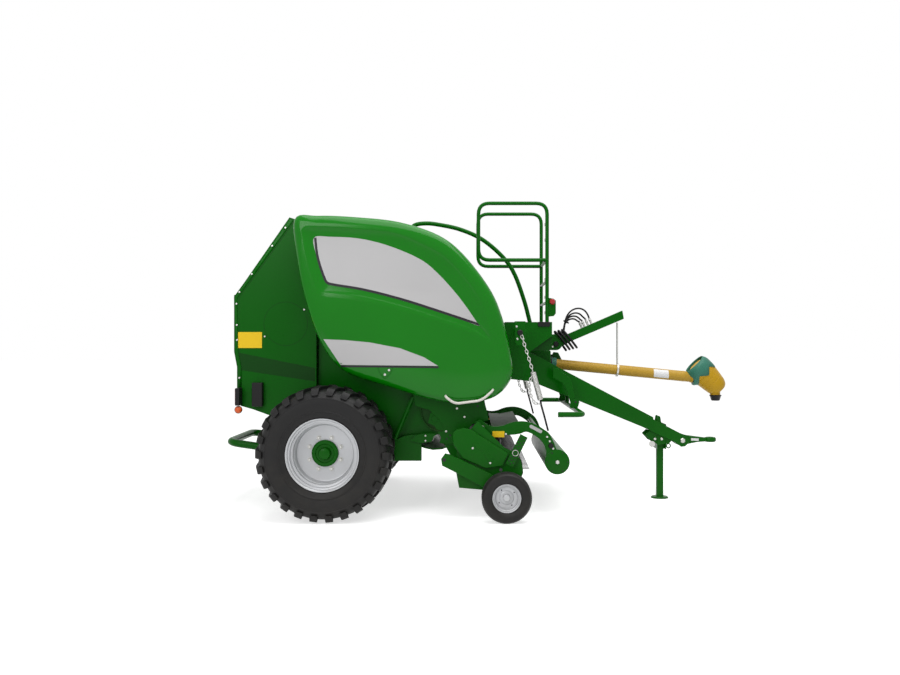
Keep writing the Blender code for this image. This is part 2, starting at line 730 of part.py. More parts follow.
# Tailgate rams
RAM_BARREL_R = 0.035
RAM_ROD_R = 0.0175
RAM_BARREL_LONG = 0.90
RAM_STROKE = 0.49
RAM_EYE_R = 0.036
RAM_NECK = 0.03


def ram(label, side):
    """Hydraulic ram: barrel on its foot pin, rod out of the barrel's open end."""
    eye_x, eye_z = ram_eye_place()
    foot = Vector((RAM_FOOT_X, side * RAM_Y, RAM_FOOT_Z))
    eye = Vector((eye_x, side * RAM_Y, eye_z))
    way = (eye - foot).normalized()
    width = Vector((0, RAM_EYE_HALF_W, 0))
    blind = RAM_BARREL_LONG - RAM_STROKE - RAM_EYE_R * 3
    barrel = fused(
        [rod(foot - width, foot + width, RAM_EYE_R),
         rod(foot + way * RAM_NECK, foot + way * RAM_BARREL_LONG, RAM_BARREL_R, 16)],
        [bore(foot - width * 2, foot + width * 2, RAM_PIN_R),
         bore(foot + way * blind, foot + way * (RAM_BARREL_LONG + OVERRUN), RAM_ROD_R)])
    placed("ram_barrel_" + label, barrel, dark_green(), foot)
    start = foot + way * (blind + RAM_EYE_R)
    piston = fused([rod(start, eye - way * RAM_PIN_R, RAM_ROD_R), rod(eye - width, eye + width, RAM_EYE_R)],
                   [rod(eye - width * 2, eye + width * 2, RAM_PIN_R)])
    placed("ram_rod_" + label, piston, zinc(), eye)


# Intake floor and feed rotor
ROTOR_R = 0.24
ROTOR_CORE_R = 0.09
ROTOR_STARS = 6
ROTOR_STAR_T = 0.02
FLOOR_GAP = 0.03
FLOOR_T = 0.014


def feed_rotor():
    """Shaft with pairs of star plates that carries the crop into the chamber."""
    half = CHAMBER_HALF_W - RUN_GAP
    shaft = CHAMBER_HALF_W + WALL_T
    profile = [
        (0.0, -shaft), (SHAFT_R, -shaft), (SHAFT_R, -half), (ROTOR_CORE_R, -half),
        (ROTOR_CORE_R, half), (SHAFT_R, half), (SHAFT_R, shaft), (0.0, shaft)]
    solids = [turned(profile, 12, (ROTOR_X, 0, ROTOR_Z))]
    for star in range(ROTOR_STARS):
        y = -half + half * 2 * (star + 0.5) / ROTOR_STARS
        outline = []
        for tooth in range(4):
            lead = tooth * 90 + (star % 4) * 22.5
            outline += arc((ROTOR_X, ROTOR_Z), ROTOR_CORE_R + OVERRUN, lead, lead + 30, 1)
            outline += arc((ROTOR_X, ROTOR_Z), ROTOR_R, lead + 50, lead + 60, 1)
        solids.append(prism(outline, y - ROTOR_STAR_T / 2, y + ROTOR_STAR_T / 2))
    placed("feed_rotor", fused(solids), zinc(), (ROTOR_X, 0, ROTOR_Z))


def intake_floor():
    """Curved floor under the feed rotor, between the chamber's walls."""
    centre = (ROTOR_X, ROTOR_Z)
    inner = arc(centre, ROTOR_R + FLOOR_GAP, -175, -45, 8)
    outer = arc(centre, ROTOR_R + FLOOR_GAP + FLOOR_T, -175, -45, 8)
    half = CHAMBER_HALF_W - GAP
    placed("intake_floor", prism(outer + inner[::-1], -half, half), dark_green())


# Front frame: deck, side gussets, front wall and the hanger tube of the lifting chains
DECK_T = 0.02
GUSSET_T = 0.03
FRONT_WALL_X = 1.716
FRONT_WALL_T = 0.02
HANGER_X = 1.612
HANGER_Z = 1.549
HANGER_R = 0.02
HANGER_HALF_W = 0.93
BEAM_REAR_TOP_Z = 1.384
BEAM_REAR_LOW_Z = 1.127


def front_frame():
    """Deck over two gussets and a front wall, crossed by the tube that the chains hang from."""
    solids = [block((DECK_REAR_X, -DECK_HALF_W, DECK_Z - DECK_T), (DECK_FRONT_X, DECK_HALF_W, DECK_Z))]
    for name, side in SIDES:
        gusset = [
            (WALL_FRONT_X - GUSSET_T * 2, DECK_Z - DECK_FALL), (DECK_REAR_X, DECK_Z - DECK_T / 2),
            (DECK_FRONT_X, DECK_Z - DECK_T / 2), (DECK_FRONT_X, DECK_Z - DECK_FALL / 2),
            (FRONT_WALL_X, BEAM_REAR_TOP_Z), (FRONT_WALL_X, BEAM_REAR_LOW_Z),
            (WALL_FRONT_X - GUSSET_T * 2, BEAM_REAR_LOW_Z + GUSSET_T)]
        solids.append(prism(gusset, side * (DECK_HALF_W - GUSSET_T), side * DECK_HALF_W))
    solids.append(block((FRONT_WALL_X - FRONT_WALL_T, -DECK_HALF_W, BEAM_REAR_LOW_Z),
                        (FRONT_WALL_X, DECK_HALF_W, BEAM_REAR_TOP_Z)))
    solids.append(rod((HANGER_X, -HANGER_HALF_W, HANGER_Z), (HANGER_X, HANGER_HALF_W, HANGER_Z), HANGER_R))
    placed("front_frame", fused(solids), dark_green())


# Drawbar: two tapering beams that meet at the head, which holds the jack and the tow eye
BEAM_REAR_Y = 0.42
BEAM_HEAD_Y = 0.075
BEAM_T = 0.07
BEAM_HEAD_X = 2.90
BEAM_HEAD_TOP_Z = 0.768
BEAM_HEAD_LOW_Z = 0.636
HEAD_HALF_W = 0.11
HEAD_FRONT_X = 3.15
SLEEVE_HALF = 0.038
SLEEVE_HOLE = 0.0273
SLEEVE_LOW_Z = 0.46
SLEEVE_TOP_Z = 0.80
JACK_HALF = 0.0265
JACK_FOOT_R = 0.0825
JACK_FOOT_HIGH = 0.03
EYE_R = 0.055
EYE_HOLE_R = 0.025
EYE_X = 3.457
EYE_HALF_T = 0.02
SHANK_HALF = 0.03


def drawbar_beam(name, side):
    """Box beam that tapers in height and runs in towards the head."""
    loops = []
    for x, y, low, high in (
            (FRONT_WALL_X + GAP, BEAM_REAR_Y, BEAM_REAR_LOW_Z, BEAM_REAR_TOP_Z),
            (BEAM_HEAD_X, BEAM_HEAD_Y, BEAM_HEAD_LOW_Z, BEAM_HEAD_TOP_Z)):
        near, far = side * (y - BEAM_T / 2), side * (y + BEAM_T / 2)
        loops.append([(x, near, low), (x, far, low), (x, far, high), (x, near, high)])
    placed(name, skin(loops), dark_green())


def drawbar_head():
    """Nose block in front of the beams, with the jack's square sleeve through it."""
    outline = [
        (BEAM_HEAD_X + GAP, BEAM_HEAD_LOW_Z), (HEAD_FRONT_X, HITCH_Z - SHANK_HALF * 1.5),
        (HEAD_FRONT_X, HITCH_Z + SHANK_HALF * 2), (BEAM_HEAD_X + GAP, BEAM_HEAD_TOP_Z)]
    nose = prism(outline, -HEAD_HALF_W, HEAD_HALF_W)
    sleeve = block((JACK_X - SLEEVE_HALF, -SLEEVE_HALF, SLEEVE_LOW_Z),
                   (JACK_X + SLEEVE_HALF, SLEEVE_HALF, SLEEVE_TOP_Z))
    hole = block((JACK_X - SLEEVE_HOLE, -SLEEVE_HOLE, SLEEVE_LOW_Z - OVERRUN),
                 (JACK_X + SLEEVE_HOLE, SLEEVE_HOLE, SLEEVE_TOP_Z + OVERRUN))
    placed("drawbar_head", fused([nose, sleeve], [hole]), dark_green())


def jack_leg():
    """Square inner leg with its round foot."""
    leg = block((JACK_X - JACK_HALF, -JACK_HALF, JACK_FOOT_HIGH / 2), (JACK_X + JACK_HALF, JACK_HALF, SLEEVE_TOP_Z))
    foot = turned([(0.0, 0.0), (JACK_FOOT_R, 0.0), (JACK_FOOT_R, JACK_FOOT_HIGH / 2),
                   (JACK_HALF, JACK_FOOT_HIGH), (0.0, JACK_FOOT_HIGH)], 16, (JACK_X, 0, 0), (0, 0, 1))
    placed("jack_leg", fused([leg, foot]), zinc(), (JACK_X, 0, 0))


def tow_eye():
    """Forged eye on its shank in front of the head."""
    ring = turned([(EYE_HOLE_R, -EYE_HALF_T), (EYE_R, -EYE_HALF_T), (EYE_R, EYE_HALF_T),
                   (EYE_HOLE_R, EYE_HALF_T)], 20, (EYE_X, 0, HITCH_Z), (0, 0, 1))
    shank = block((HEAD_FRONT_X + GAP, -SHANK_HALF, HITCH_Z - SHANK_HALF),
                  (EYE_X - EYE_HOLE_R - EYE_HALF_T / 2, SHANK_HALF, HITCH_Z + SHANK_HALF))
    placed("tow_eye", fused([ring, shank]), zinc())


# Gearbox and drive shaft with its guards
GEARBOX_HALF_W = 0.13
GEARBOX_HALF_H = 0.13
SHAFT_TUBE_R = 0.047
SHAFT_LONG = 1.30
CONE_R = 0.09
CONE_LONG = 0.12
BELL_R = 0.11
BELL_LONG = 0.24
CAP_R = 0.045


def shaft_point(along):
    """Point on the drive shaft's middle line, measured forward from the gearbox."""
    return Vector((SHAFT_REAR_X + along * math.cos(SHAFT_SLOPE), 0,
                   SHAFT_REAR_Z - along * math.sin(SHAFT_SLOPE)))


def gearbox():
    """Cast gearbox on the front wall with the guard cone of its input shaft."""
    body = block((FRONT_WALL_X + GAP, -GEARBOX_HALF_W, SHAFT_REAR_Z - GEARBOX_HALF_H),
                 (SHAFT_REAR_X - CONE_LONG / 2, GEARBOX_HALF_W, SHAFT_REAR_Z + GEARBOX_HALF_H))
    placed("gearbox", body, black())


def drive_shaft():
    """Guard tube with its rear cone, and the front bell."""
    way = shaft_point(1) - shaft_point(0)
    rear = shaft_point(-CONE_LONG / 2)
    rear.x = SHAFT_REAR_X - CONE_LONG / 2 + CONE_R * math.sin(SHAFT_SLOPE) + GAP
    profile = [
        (0.0, 0.0), (CONE_R, 0.0), (CONE_R, CONE_LONG * 0.7), (SHAFT_TUBE_R, CONE_LONG),
        (SHAFT_TUBE_R, SHAFT_LONG), (0.0, SHAFT_LONG)]
    placed("pto_tube", turned(profile, 20, rear, way), yellow())
    bell_start = rear + way * (SHAFT_LONG + GAP)
    profile = [(0.0, 0.0), (SHAFT_TUBE_R, 0.0), (BELL_R, BELL_LONG), (BELL_R * 0.9, BELL_LONG),
               (SHAFT_TUBE_R * 0.9, FLANGE_T), (0.0, FLANGE_T)]
    reach = FRONT_REACH - bell_start.x
    placed("pto_bell", turned([(r, w / BELL_LONG * (reach - BELL_R * math.sin(SHAFT_SLOPE)) / math.cos(SHAFT_SLOPE))
                               for r, w in profile], 20, bell_start, way), yellow())


# Hook that holds the parked drive shaft, and the arm of the hoses above it
ARM_REAR = (2.068, 1.394)
ARM_TIP = (2.616, 1.72)
ARM_R = 0.04
ARM_FOOT = (1.945, 1.452)
HOOK_X = 2.58
HOOK_R = 0.008


def hose_arm():
    """Bent tube from the deck's front edge, rising forward over the drive shaft."""
    foot = (DECK_FRONT_X + OVERRUN, 0, ARM_FOOT[1])
    plate = block((DECK_FRONT_X + GAP, -ARM_R * 2, DECK_Z - DECK_FALL), (ARM_FOOT[0], ARM_R * 2, DECK_Z))
    route = bent([foot, (ARM_REAR[0], 0, ARM_FOOT[1]), (ARM_TIP[0], 0, ARM_TIP[1])], ARM_R * 2)
    shaft_z = shaft_point((HOOK_X - SHAFT_REAR_X) / math.cos(SHAFT_SLOPE)).z
    ring_r = SHAFT_TUBE_R + GAP + HOOK_R
    share = (HOOK_X - ARM_REAR[0]) / (ARM_TIP[0] - ARM_REAR[0])
    arm_z = ARM_FOOT[1] + (ARM_TIP[1] - ARM_FOOT[1]) * share
    ring = turned([(ring_r - HOOK_R * 0.9, -HOOK_R), (ring_r + HOOK_R, -HOOK_R), (ring_r + HOOK_R, HOOK_R),
                   (ring_r - HOOK_R * 0.9, HOOK_R)], 20, (HOOK_X, 0, shaft_z), shaft_point(1) - shaft_point(0))
    placed("hose_arm", fused([plate, pipe(route, ARM_R)]), dark_green())
    rise = math.atan2(ARM_TIP[1] - ARM_FOOT[1], ARM_TIP[0] - ARM_REAR[0])
    hang_top = arm_z - ARM_R / math.cos(rise) - HOOK_R * math.tan(rise) - GAP
    hang = rod((HOOK_X, 0, shaft_z + ring_r), (HOOK_X, 0, hang_top), HOOK_R, 8)
    placed("pto_hook", fused([ring, hang]), zinc())


# Guard rail on the deck and hoop tube over the hood
RAIL_R = 0.017
RAIL_HALF_W = 0.34
RAIL_TOP_Z = 2.727
RAIL_LOW_Z = 2.213
RAIL_REAR_X = 1.267
RAIL_POST_X = 1.889
RAIL_BEND = 0.09
RUNG_ZS = (2.213, 2.02, 1.83)


def guard_rail():
    """Posts on the deck with rungs between them and a loop back along the right side."""
    near = -RAIL_HALF_W
    loop = bent([(RAIL_POST_X + RAIL_R / 2, near, RAIL_LOW_Z), (RAIL_REAR_X, near, RAIL_LOW_Z),
                 (RAIL_REAR_X, near, RAIL_TOP_Z), (RAIL_POST_X, near, RAIL_TOP_Z),
                 (RAIL_POST_X, near, DECK_Z + GAP)], RAIL_BEND)
    cross = bent([(RAIL_POST_X, near, RAIL_TOP_Z - RAIL_BEND), (RAIL_POST_X, -near, RAIL_TOP_Z - RAIL_BEND),
                  (RAIL_POST_X, -near, DECK_Z + GAP)], RAIL_BEND)
    solids = [pipe(loop, RAIL_R), pipe(cross, RAIL_R)]
    for z in RUNG_ZS:
        solids.append(rod((RAIL_POST_X, near, z), (RAIL_POST_X, -near, z), RAIL_R * 0.8, 8))
    placed("guard_rail", fused(solids), black())


HOOP_R = 0.02
HOOP_REAR_X = 0.62
HOOP_HALF_STEPS = 6
HOOP_FOOT_X = 1.756


def hoop_tube():
    """Bowed tube from the hood down to the deck."""
    start = (HOOP_REAR_X, hood_height(HOOP_REAR_X - HOOP_R) + GAP)
    crest = (HOOP_REAR_X + HOOP_R * 2, COVER_HINGE_Z + HOOP_R * 2)
    centre = (DECK_REAR_X - 0.75, DECK_Z - 0.02)
    bow = arc(centre, HOOP_FOOT_X - centre[0] - HOOP_R, 84, 12, 8)
    route = [start, crest] + bow + [(HOOP_FOOT_X, DECK_Z + HOOP_R * 4), (HOOP_FOOT_X, DECK_Z + GAP)]
    placed("hoop_tube", pipe([(x, 0, z) for x, z in route], HOOP_R), black())


# Pick-up: frame, stripper bands, tine reel and gauge wheels
PICKUP_HALF_W = 0.95
REEL_BAR_RING_R = 0.13
REEL_BAR_R = 0.014
REEL_DRUM_R = 0.05
REEL_BARS = 4
TINE_TIP_R = 0.245
TINE_HALF = 0.0045
BAND_R = 0.19
BAND_T = 0.004
BAND_SLOT = 0.018
BANDS = 24
TRAY_X = 1.165
TRAY_TOP_Z = 0.62
TRAY_LOW_Z = 0.25
TRAY_T = 0.008
CROSS_R = 0.04
CROSS_X = 1.10
CROSS_Z = 0.46
ARM_IN_Y = GATE_SIDE_Y + RUN_GAP
PIVOT_R = 0.035
GAUGE_X = 1.49
GAUGE_R = 0.205
GAUGE_W = 0.165
GAUGE_Y = 1.17
GAUGE_RIM_R = 0.11
GAUGE_AXLE_R = 0.014
GAUGE_ARM_HALF = 0.03
GAUGE_ARM_Y = 1.02
GAUGE_SIDES = 24


def pickup_frame():
    """Two pivot arms and two end plates on a cross tube, with the rear tray and the gauge arms."""
    solids = [rod((CROSS_X, -GAUGE_ARM_Y, CROSS_Z), (CROSS_X, GAUGE_ARM_Y, CROSS_Z), CROSS_R)]
    for name, side in SIDES:
        arm = [
            (ROTOR_X - PIVOT_R * 1.6, ROTOR_Z - PIVOT_R), (ROTOR_X, ROTOR_Z - PIVOT_R * 1.8),
            (CROSS_X - CROSS_R, CROSS_Z - CROSS_R), (CROSS_X + CROSS_R, CROSS_Z - CROSS_R / 2),
            (CROSS_X + CROSS_R, CROSS_Z + CROSS_R), (ROTOR_X + PIVOT_R * 1.7, ROTOR_Z),
            (ROTOR_X + PIVOT_R, ROTOR_Z + PIVOT_R * 1.5), (ROTOR_X - PIVOT_R, ROTOR_Z + PIVOT_R * 1.5)]
        solids.append(prism(arm, side * ARM_IN_Y, side * (ARM_IN_Y + PLATE_T)))
        end_in, end_out = side * PICKUP_HALF_W, side * (PICKUP_HALF_W + PLATE_T)
        plate = arc((REEL_X, REEL_Z), BAND_R - BAND_T, -80, 80, 6) + [
            (PRESS_X + PRESS_PIN_R * 2, PRESS_Z), (PRESS_X, PRESS_Z + PRESS_PIN_R * 2),
            (PRESS_X - PRESS_PIN_R * 2, PRESS_Z), (CROSS_X, TRAY_TOP_Z), (CROSS_X - CROSS_R, CROSS_Z), (CROSS_X, TRAY_LOW_Z)]
        solids.append(prism(plate, end_in, end_out))
        solids.append(rod((PRESS_X, end_in + side * PLATE_T / 2, PRESS_Z),
                          (PRESS_X, side * (PRESS_ARM_Y - PLATE_T), PRESS_Z), PRESS_PIN_R))
        gauge = [
            (CROSS_X - GAUGE_ARM_HALF, CROSS_Z + GAUGE_ARM_HALF), (CROSS_X - GAUGE_ARM_HALF, CROSS_Z - GAUGE_ARM_HALF),
            (GAUGE_X, GAUGE_R - GAUGE_ARM_HALF), (GAUGE_X + GAUGE_ARM_HALF, GAUGE_R),
            (GAUGE_X, GAUGE_R + GAUGE_ARM_HALF)]
        solids.append(prism(gauge, side * (GAUGE_ARM_Y - PLATE_T), side * (GAUGE_ARM_Y + PLATE_T)))
        solids.append(rod((GAUGE_X, side * GAUGE_ARM_Y, GAUGE_R), (GAUGE_X, side * GAUGE_Y, GAUGE_R), GAUGE_AXLE_R))
    placed("pickup_frame", fused(solids, [
        bore((REEL_X, -GAUGE_ARM_Y, REEL_Z), (REEL_X, GAUGE_ARM_Y, REEL_Z), ROLLER_STUB_R),
        bore((ROTOR_X, -GAUGE_ARM_Y, ROTOR_Z), (ROTOR_X, GAUGE_ARM_Y, ROTOR_Z), SHAFT_R)]), dark_green(),
        (ROTOR_X, 0, ROTOR_Z))


def pickup_bands():
    """Bent strips round the reel, joined by the tray behind it."""
    half = PICKUP_HALF_W - GAP
    pitch = half * 2 / BANDS
    outer = [(TRAY_X, TRAY_TOP_Z)] + arc((REEL_X, REEL_Z), BAND_R, 80, -95, 6) + [(TRAY_X, TRAY_LOW_Z)]
    inner = [(TRAY_X, TRAY_TOP_Z - BAND_T)] + arc((REEL_X, REEL_Z), BAND_R - BAND_T, 80, -95, 6) + [
        (TRAY_X, TRAY_LOW_Z + BAND_T)]
    solids = [block((TRAY_X - TRAY_T, -half, TRAY_LOW_Z), (TRAY_X, half, TRAY_TOP_Z))]
    for band in range(BANDS):
        start = -half + band * pitch
        solids.append(prism(outer + inner[::-1], start, start + pitch - BAND_SLOT))
    placed("pickup_bands", fused(solids), black(), (ROTOR_X, 0, ROTOR_Z))


def tine_reel():
    """Shaft with end discs, tine bars and a tine in each slot between the bands."""
    half = PICKUP_HALF_W - RUN_GAP
    pitch = (PICKUP_HALF_W - GAP) * 2 / BANDS
    centre = Vector((REEL_X, 0, REEL_Z))
    disc = [(0.0, -PLATE_T / 2), (REEL_BAR_RING_R + REEL_BAR_R, -PLATE_T / 2),
            (REEL_BAR_RING_R + REEL_BAR_R, PLATE_T / 2), (0.0, PLATE_T / 2)]
    solids = [rod(centre - Vector((0, half, 0)), centre + Vector((0, half, 0)), REEL_DRUM_R)]
    stub = Vector((0, PICKUP_HALF_W + PLATE_T, 0))
    solids.append(rod(centre - stub, centre + stub, ROLLER_STUB_R))
    for y in (-half + PLATE_T, 0.0 + pitch / 2 - BAND_SLOT / 2, half - PLATE_T):
        solids.append(turned(disc, 16, centre + Vector((0, y, 0))))
    for bar in range(REEL_BARS):
        turn = math.tau * bar / REEL_BARS
        way = Vector((math.cos(turn), 0, math.sin(turn)))
        spot = centre + way * REEL_BAR_RING_R
        solids.append(rod(spot - Vector((0, half, 0)), spot + Vector((0, half, 0)), REEL_BAR_R, 6))
        for slot in range(BANDS - 1):
            y = -(PICKUP_HALF_W - GAP) + (slot + 1) * pitch - BAND_SLOT / 2
            tip = centre + way * TINE_TIP_R + Vector((0, y, 0))
            solids.append(rod(spot + Vector((0, y, 0)), tip, TINE_HALF, 3))
    placed("tine_reel", fused(solids), zinc(), centre)


def gauge_tyre(name, side):
    """Small round-shouldered tyre."""
    half = GAUGE_W / 2
    crown = GAUGE_R * 0.94
    seat = round_it(GAUGE_RIM_R, GAUGE_SIDES)
    profile = [
        (seat, -half * 0.7), (GAUGE_R * 0.78, -half), (crown, -half * 0.85), (GAUGE_R, -half * 0.45),
        (GAUGE_R, half * 0.45), (crown, half * 0.85), (GAUGE_R * 0.78, half), (seat, half * 0.7)]
    centre = (GAUGE_X, side * GAUGE_Y, GAUGE_R)
    placed(name, turned(profile, GAUGE_SIDES, centre), tyre_black(), centre)


def gauge_rim(name, side):
    """Small disc rim that turns on its stub."""
    half = GAUGE_W * 0.35
    bore = bore_r(GAUGE_AXLE_R, 16)
    profile = [
        (bore, -half), (GAUGE_RIM_R * 0.35, -half), (GAUGE_RIM_R * 0.35, -PLATE_T), (GAUGE_RIM_R * 0.88, -PLATE_T),
        (GAUGE_RIM_R * 0.88, -half), (GAUGE_RIM_R, -half), (GAUGE_RIM_R, half), (GAUGE_RIM_R * 0.88, half),
        (GAUGE_RIM_R * 0.88, 0.0), (GAUGE_RIM_R * 0.35, 0.0), (GAUGE_RIM_R * 0.35, half), (bore, half)]
    centre = (GAUGE_X, side * GAUGE_Y, GAUGE_R)
    placed(name, turned(profile, 16, centre, (0, side, 0)), rim_silver(), centre)


# Crop press: two curved arms with a cross bar, and the crop roller
PRESS_ROLLER_X = 1.932
PRESS_ROLLER_Z = 0.452
PRESS_ROLLER_R = 0.105
PRESS_ARM_HALF = 0.035
ROLLER_STUB_R = 0.014
PRESS_BAR_X = 1.788
PRESS_BAR_Z = 0.71
PRESS_BAR_R = 0.02


def crop_press():
    """Arms that swing on the pick-up and carry the roller in front of it."""
    solids = [rod((PRESS_BAR_X, -PRESS_ARM_Y, PRESS_BAR_Z), (PRESS_BAR_X, PRESS_ARM_Y, PRESS_BAR_Z), PRESS_BAR_R)]
    for name, side in SIDES:
        outline = [
            (PRESS_X - PRESS_ARM_HALF, PRESS_Z - PRESS_ARM_HALF), (PRESS_X + PRESS_ARM_HALF, PRESS_Z - PRESS_ARM_HALF * 1.5),
            (PRESS_BAR_X - PRESS_ARM_HALF, PRESS_BAR_Z - PRESS_ARM_HALF * 1.5),
            (PRESS_ROLLER_X - PRESS_ARM_HALF, PRESS_ROLLER_Z - PRESS_ARM_HALF),
            (PRESS_ROLLER_X + PRESS_ARM_HALF, PRESS_ROLLER_Z - PRESS_ARM_HALF),
            (PRESS_ROLLER_X + PRESS_ARM_HALF, PRESS_ROLLER_Z + PRESS_ARM_HALF),
            (PRESS_BAR_X + PRESS_ARM_HALF * 2, PRESS_BAR_Z + PRESS_ARM_HALF * 1.5),
            (PRESS_X + PRESS_ARM_HALF, PRESS_Z + PRESS_ARM_HALF), (PRESS_X - PRESS_ARM_HALF, PRESS_Z + PRESS_ARM_HALF)]
        solids.append(prism(outline, side * (PRESS_ARM_Y - PLATE_T), side * PRESS_ARM_Y))
    reach = PRESS_ARM_Y + OVERRUN
    holes = [bore((x, -reach, z), (x, reach, z), pin) for x, z, pin in (
        (PRESS_X, PRESS_Z, PRESS_PIN_R), (PRESS_ROLLER_X, PRESS_ROLLER_Z, ROLLER_STUB_R))]
    placed("crop_press", fused(solids, holes), dark_green(), (PRESS_X, 0, PRESS_Z))


def crop_roller():
    """Roller that hangs between the crop press arms."""
    half = PRESS_ARM_Y - PLATE_T - RUN_GAP
    profile = [
        (0.0, -PRESS_ARM_Y), (ROLLER_STUB_R, -PRESS_ARM_Y), (ROLLER_STUB_R, -half), (PRESS_ROLLER_R, -half),
        (PRESS_ROLLER_R, half), (ROLLER_STUB_R, half), (ROLLER_STUB_R, PRESS_ARM_Y), (0.0, PRESS_ARM_Y)]
    centre = (PRESS_ROLLER_X, 0, PRESS_ROLLER_Z)
    placed("crop_roller", turned(profile, 20, centre), zinc(), centre)


# Safety bar, lifting chains, lamps, wheel chock and bale ramp
SAFETY_Y = 0.96
SAFETY_Z = 0.862
SAFETY_REAR_X = 1.929
SAFETY_FRONT_X = 2.141
SAFETY_R = 0.0225
STRUT_Y = 0.36
CHAIN_Y = 0.905
CHAIN_R = 0.012
CHAIN_LOW = (1.849, 0.80)
LAMP_LONG = 0.04
LAMP_HIGH = 0.15
LAMP_WIDE = 0.10
LAMP_Z = 1.0
CHOCK_LOW = (-0.686, 0.795)
CHOCK_HIGH = (-0.595, 1.12)
CHOCK_T = 0.06


def safety_bar():
    """Bar round the front of the crop press, carried by two struts under the drawbar."""
    route = bent([(SAFETY_REAR_X, -SAFETY_Y, SAFETY_Z), (SAFETY_FRONT_X, -SAFETY_Y, SAFETY_Z),
                  (SAFETY_FRONT_X, SAFETY_Y, SAFETY_Z), (SAFETY_REAR_X, SAFETY_Y, SAFETY_Z)], SAFETY_R * 3)
    solids = [pipe(route, SAFETY_R)]
    share = (SAFETY_FRONT_X - FRONT_WALL_X) / (BEAM_HEAD_X - FRONT_WALL_X)
    beam_y = BEAM_REAR_Y + (BEAM_HEAD_Y - BEAM_REAR_Y) * share
    beam_z = BEAM_REAR_LOW_Z + (BEAM_HEAD_LOW_Z - BEAM_REAR_LOW_Z) * share
    slope = (BEAM_REAR_LOW_Z - BEAM_HEAD_LOW_Z) / (BEAM_HEAD_X - FRONT_WALL_X)
    strut_top_z = beam_z - SAFETY_R * 0.8 * slope - GAP
    for name, side in SIDES:
        solids.append(rod((SAFETY_FRONT_X, side * beam_y, SAFETY_Z), (SAFETY_FRONT_X, side * beam_y, strut_top_z),
                          SAFETY_R * 0.8, 8))
    placed("safety_bar", fused(solids), black())


def lift_chain(name, side):
    """Chain and spring that hold the crop press up from the hanger tube."""
    top = (HANGER_X, side * CHAIN_Y, HANGER_Z - HANGER_R - GAP * 3)
    placed(name, rod(top, (CHAIN_LOW[0], side * CHAIN_Y, CHAIN_LOW[1]), CHAIN_R, 8), zinc())


def lamp(name, side):
    """Rear lamp on the lower corner of the tailgate."""
    x = SPLIT_X - GATE_LONG + LAMP_LONG
    low = (x, min(side * (GATE_SIDE_Y + GAP), side * (GATE_SIDE_Y + LAMP_WIDE)), LAMP_Z - LAMP_HIGH / 2)
    high = (x + LAMP_LONG, max(side * (GATE_SIDE_Y + GAP), side * (GATE_SIDE_Y + LAMP_WIDE)), LAMP_Z + LAMP_HIGH / 2)
    placed(name, block(low, high), black(), (HINGE_X, 0, HINGE_Z))


def wheel_chock():
    """Chock parked in its holder on the right side of the tailgate."""
    low = (CHOCK_LOW[0], -GATE_SIDE_Y - CHOCK_T, CHOCK_LOW[1] + LAMP_LONG * 3)
    high = (CHOCK_HIGH[0], -GATE_SIDE_Y - GAP, CHOCK_HIGH[1])
    placed("wheel_chock", block(low, high), black(), (HINGE_X, 0, HINGE_Z))


RAMP_REAR_Z = 0.575


def bale_ramp():
    """U of tube behind the axle that tips under the bale."""
    pin_y = RAMP_HALF_W
    route = bent([(RAMP_PIVOT_X, -pin_y, RAMP_PIVOT_Z), (RAMP_TUBE_R - REAR_REACH, -pin_y, RAMP_REAR_Z),
                  (RAMP_TUBE_R - REAR_REACH, pin_y, RAMP_REAR_Z), (RAMP_PIVOT_X, pin_y, RAMP_PIVOT_Z)],
                 RAMP_TUBE_R * 3)
    solids = [pipe(route, RAMP_TUBE_R, 10)]
    holes = []
    for name, side in SIDES:
        middle = Vector((RAMP_PIVOT_X, side * pin_y, RAMP_PIVOT_Z))
        half = Vector((0, RAMP_TUBE_R, 0))
        solids.append(rod(middle - half, middle + half, RAMP_TUBE_R, 10))
        holes.append(bore(middle - half * 2, middle + half * 2, RAMP_PIN_R, 8))
    placed("bale_ramp", fused(solids, holes), black(), (RAMP_PIVOT_X, 0, RAMP_PIVOT_Z))


def clear_scene():
    """Start from an empty scene."""
    for thing in list(bpy.data.objects):
        bpy.data.objects.remove(thing)


def main():
    """Model every piece."""
    clear_scene()
    axle_beam()
    chamber_front()
    hood()
    intake_floor()
    feed_rotor()
    front_frame()
    gearbox()
    drive_shaft()
    hose_arm()
    guard_rail()
    hoop_tube()
    drawbar_head()
    jack_leg()
    tow_eye()
    tailgate_frame()
    tailgate_panel()
    wheel_chock()
    pickup_frame()
    pickup_bands()
    tine_reel()
    crop_press()
    crop_roller()
    safety_bar()
    bale_ramp()
    for label, side in SIDES:
        side_frame("side_frame_" + label, side)
        tyre("tyre_" + label, side * WHEEL_Y)
        rim("rim_" + label, side)
        side_cover("cover_" + label, side)
        ram(label, side)
        drawbar_beam("drawbar_beam_" + label, side)
        gauge_tyre("gauge_tyre_" + label, side)
        gauge_rim("gauge_rim_" + label, side)
        lift_chain("lift_chain_" + label, side)
        lamp("lamp_" + label, side)


main()
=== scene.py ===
"""Looks of a towed round baler: paints, rubber, plated steel and the fine pieces on its frame.

Metres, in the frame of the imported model: X runs forward to the hitch, Y to the machine's left and Z
up from the ground. The right side, at negative Y, is the one that the photograph shows.
"""
import json
import math

import bmesh
import bpy
from mathutils import Matrix, Vector
from mathutils.bvhtree import BVHTree


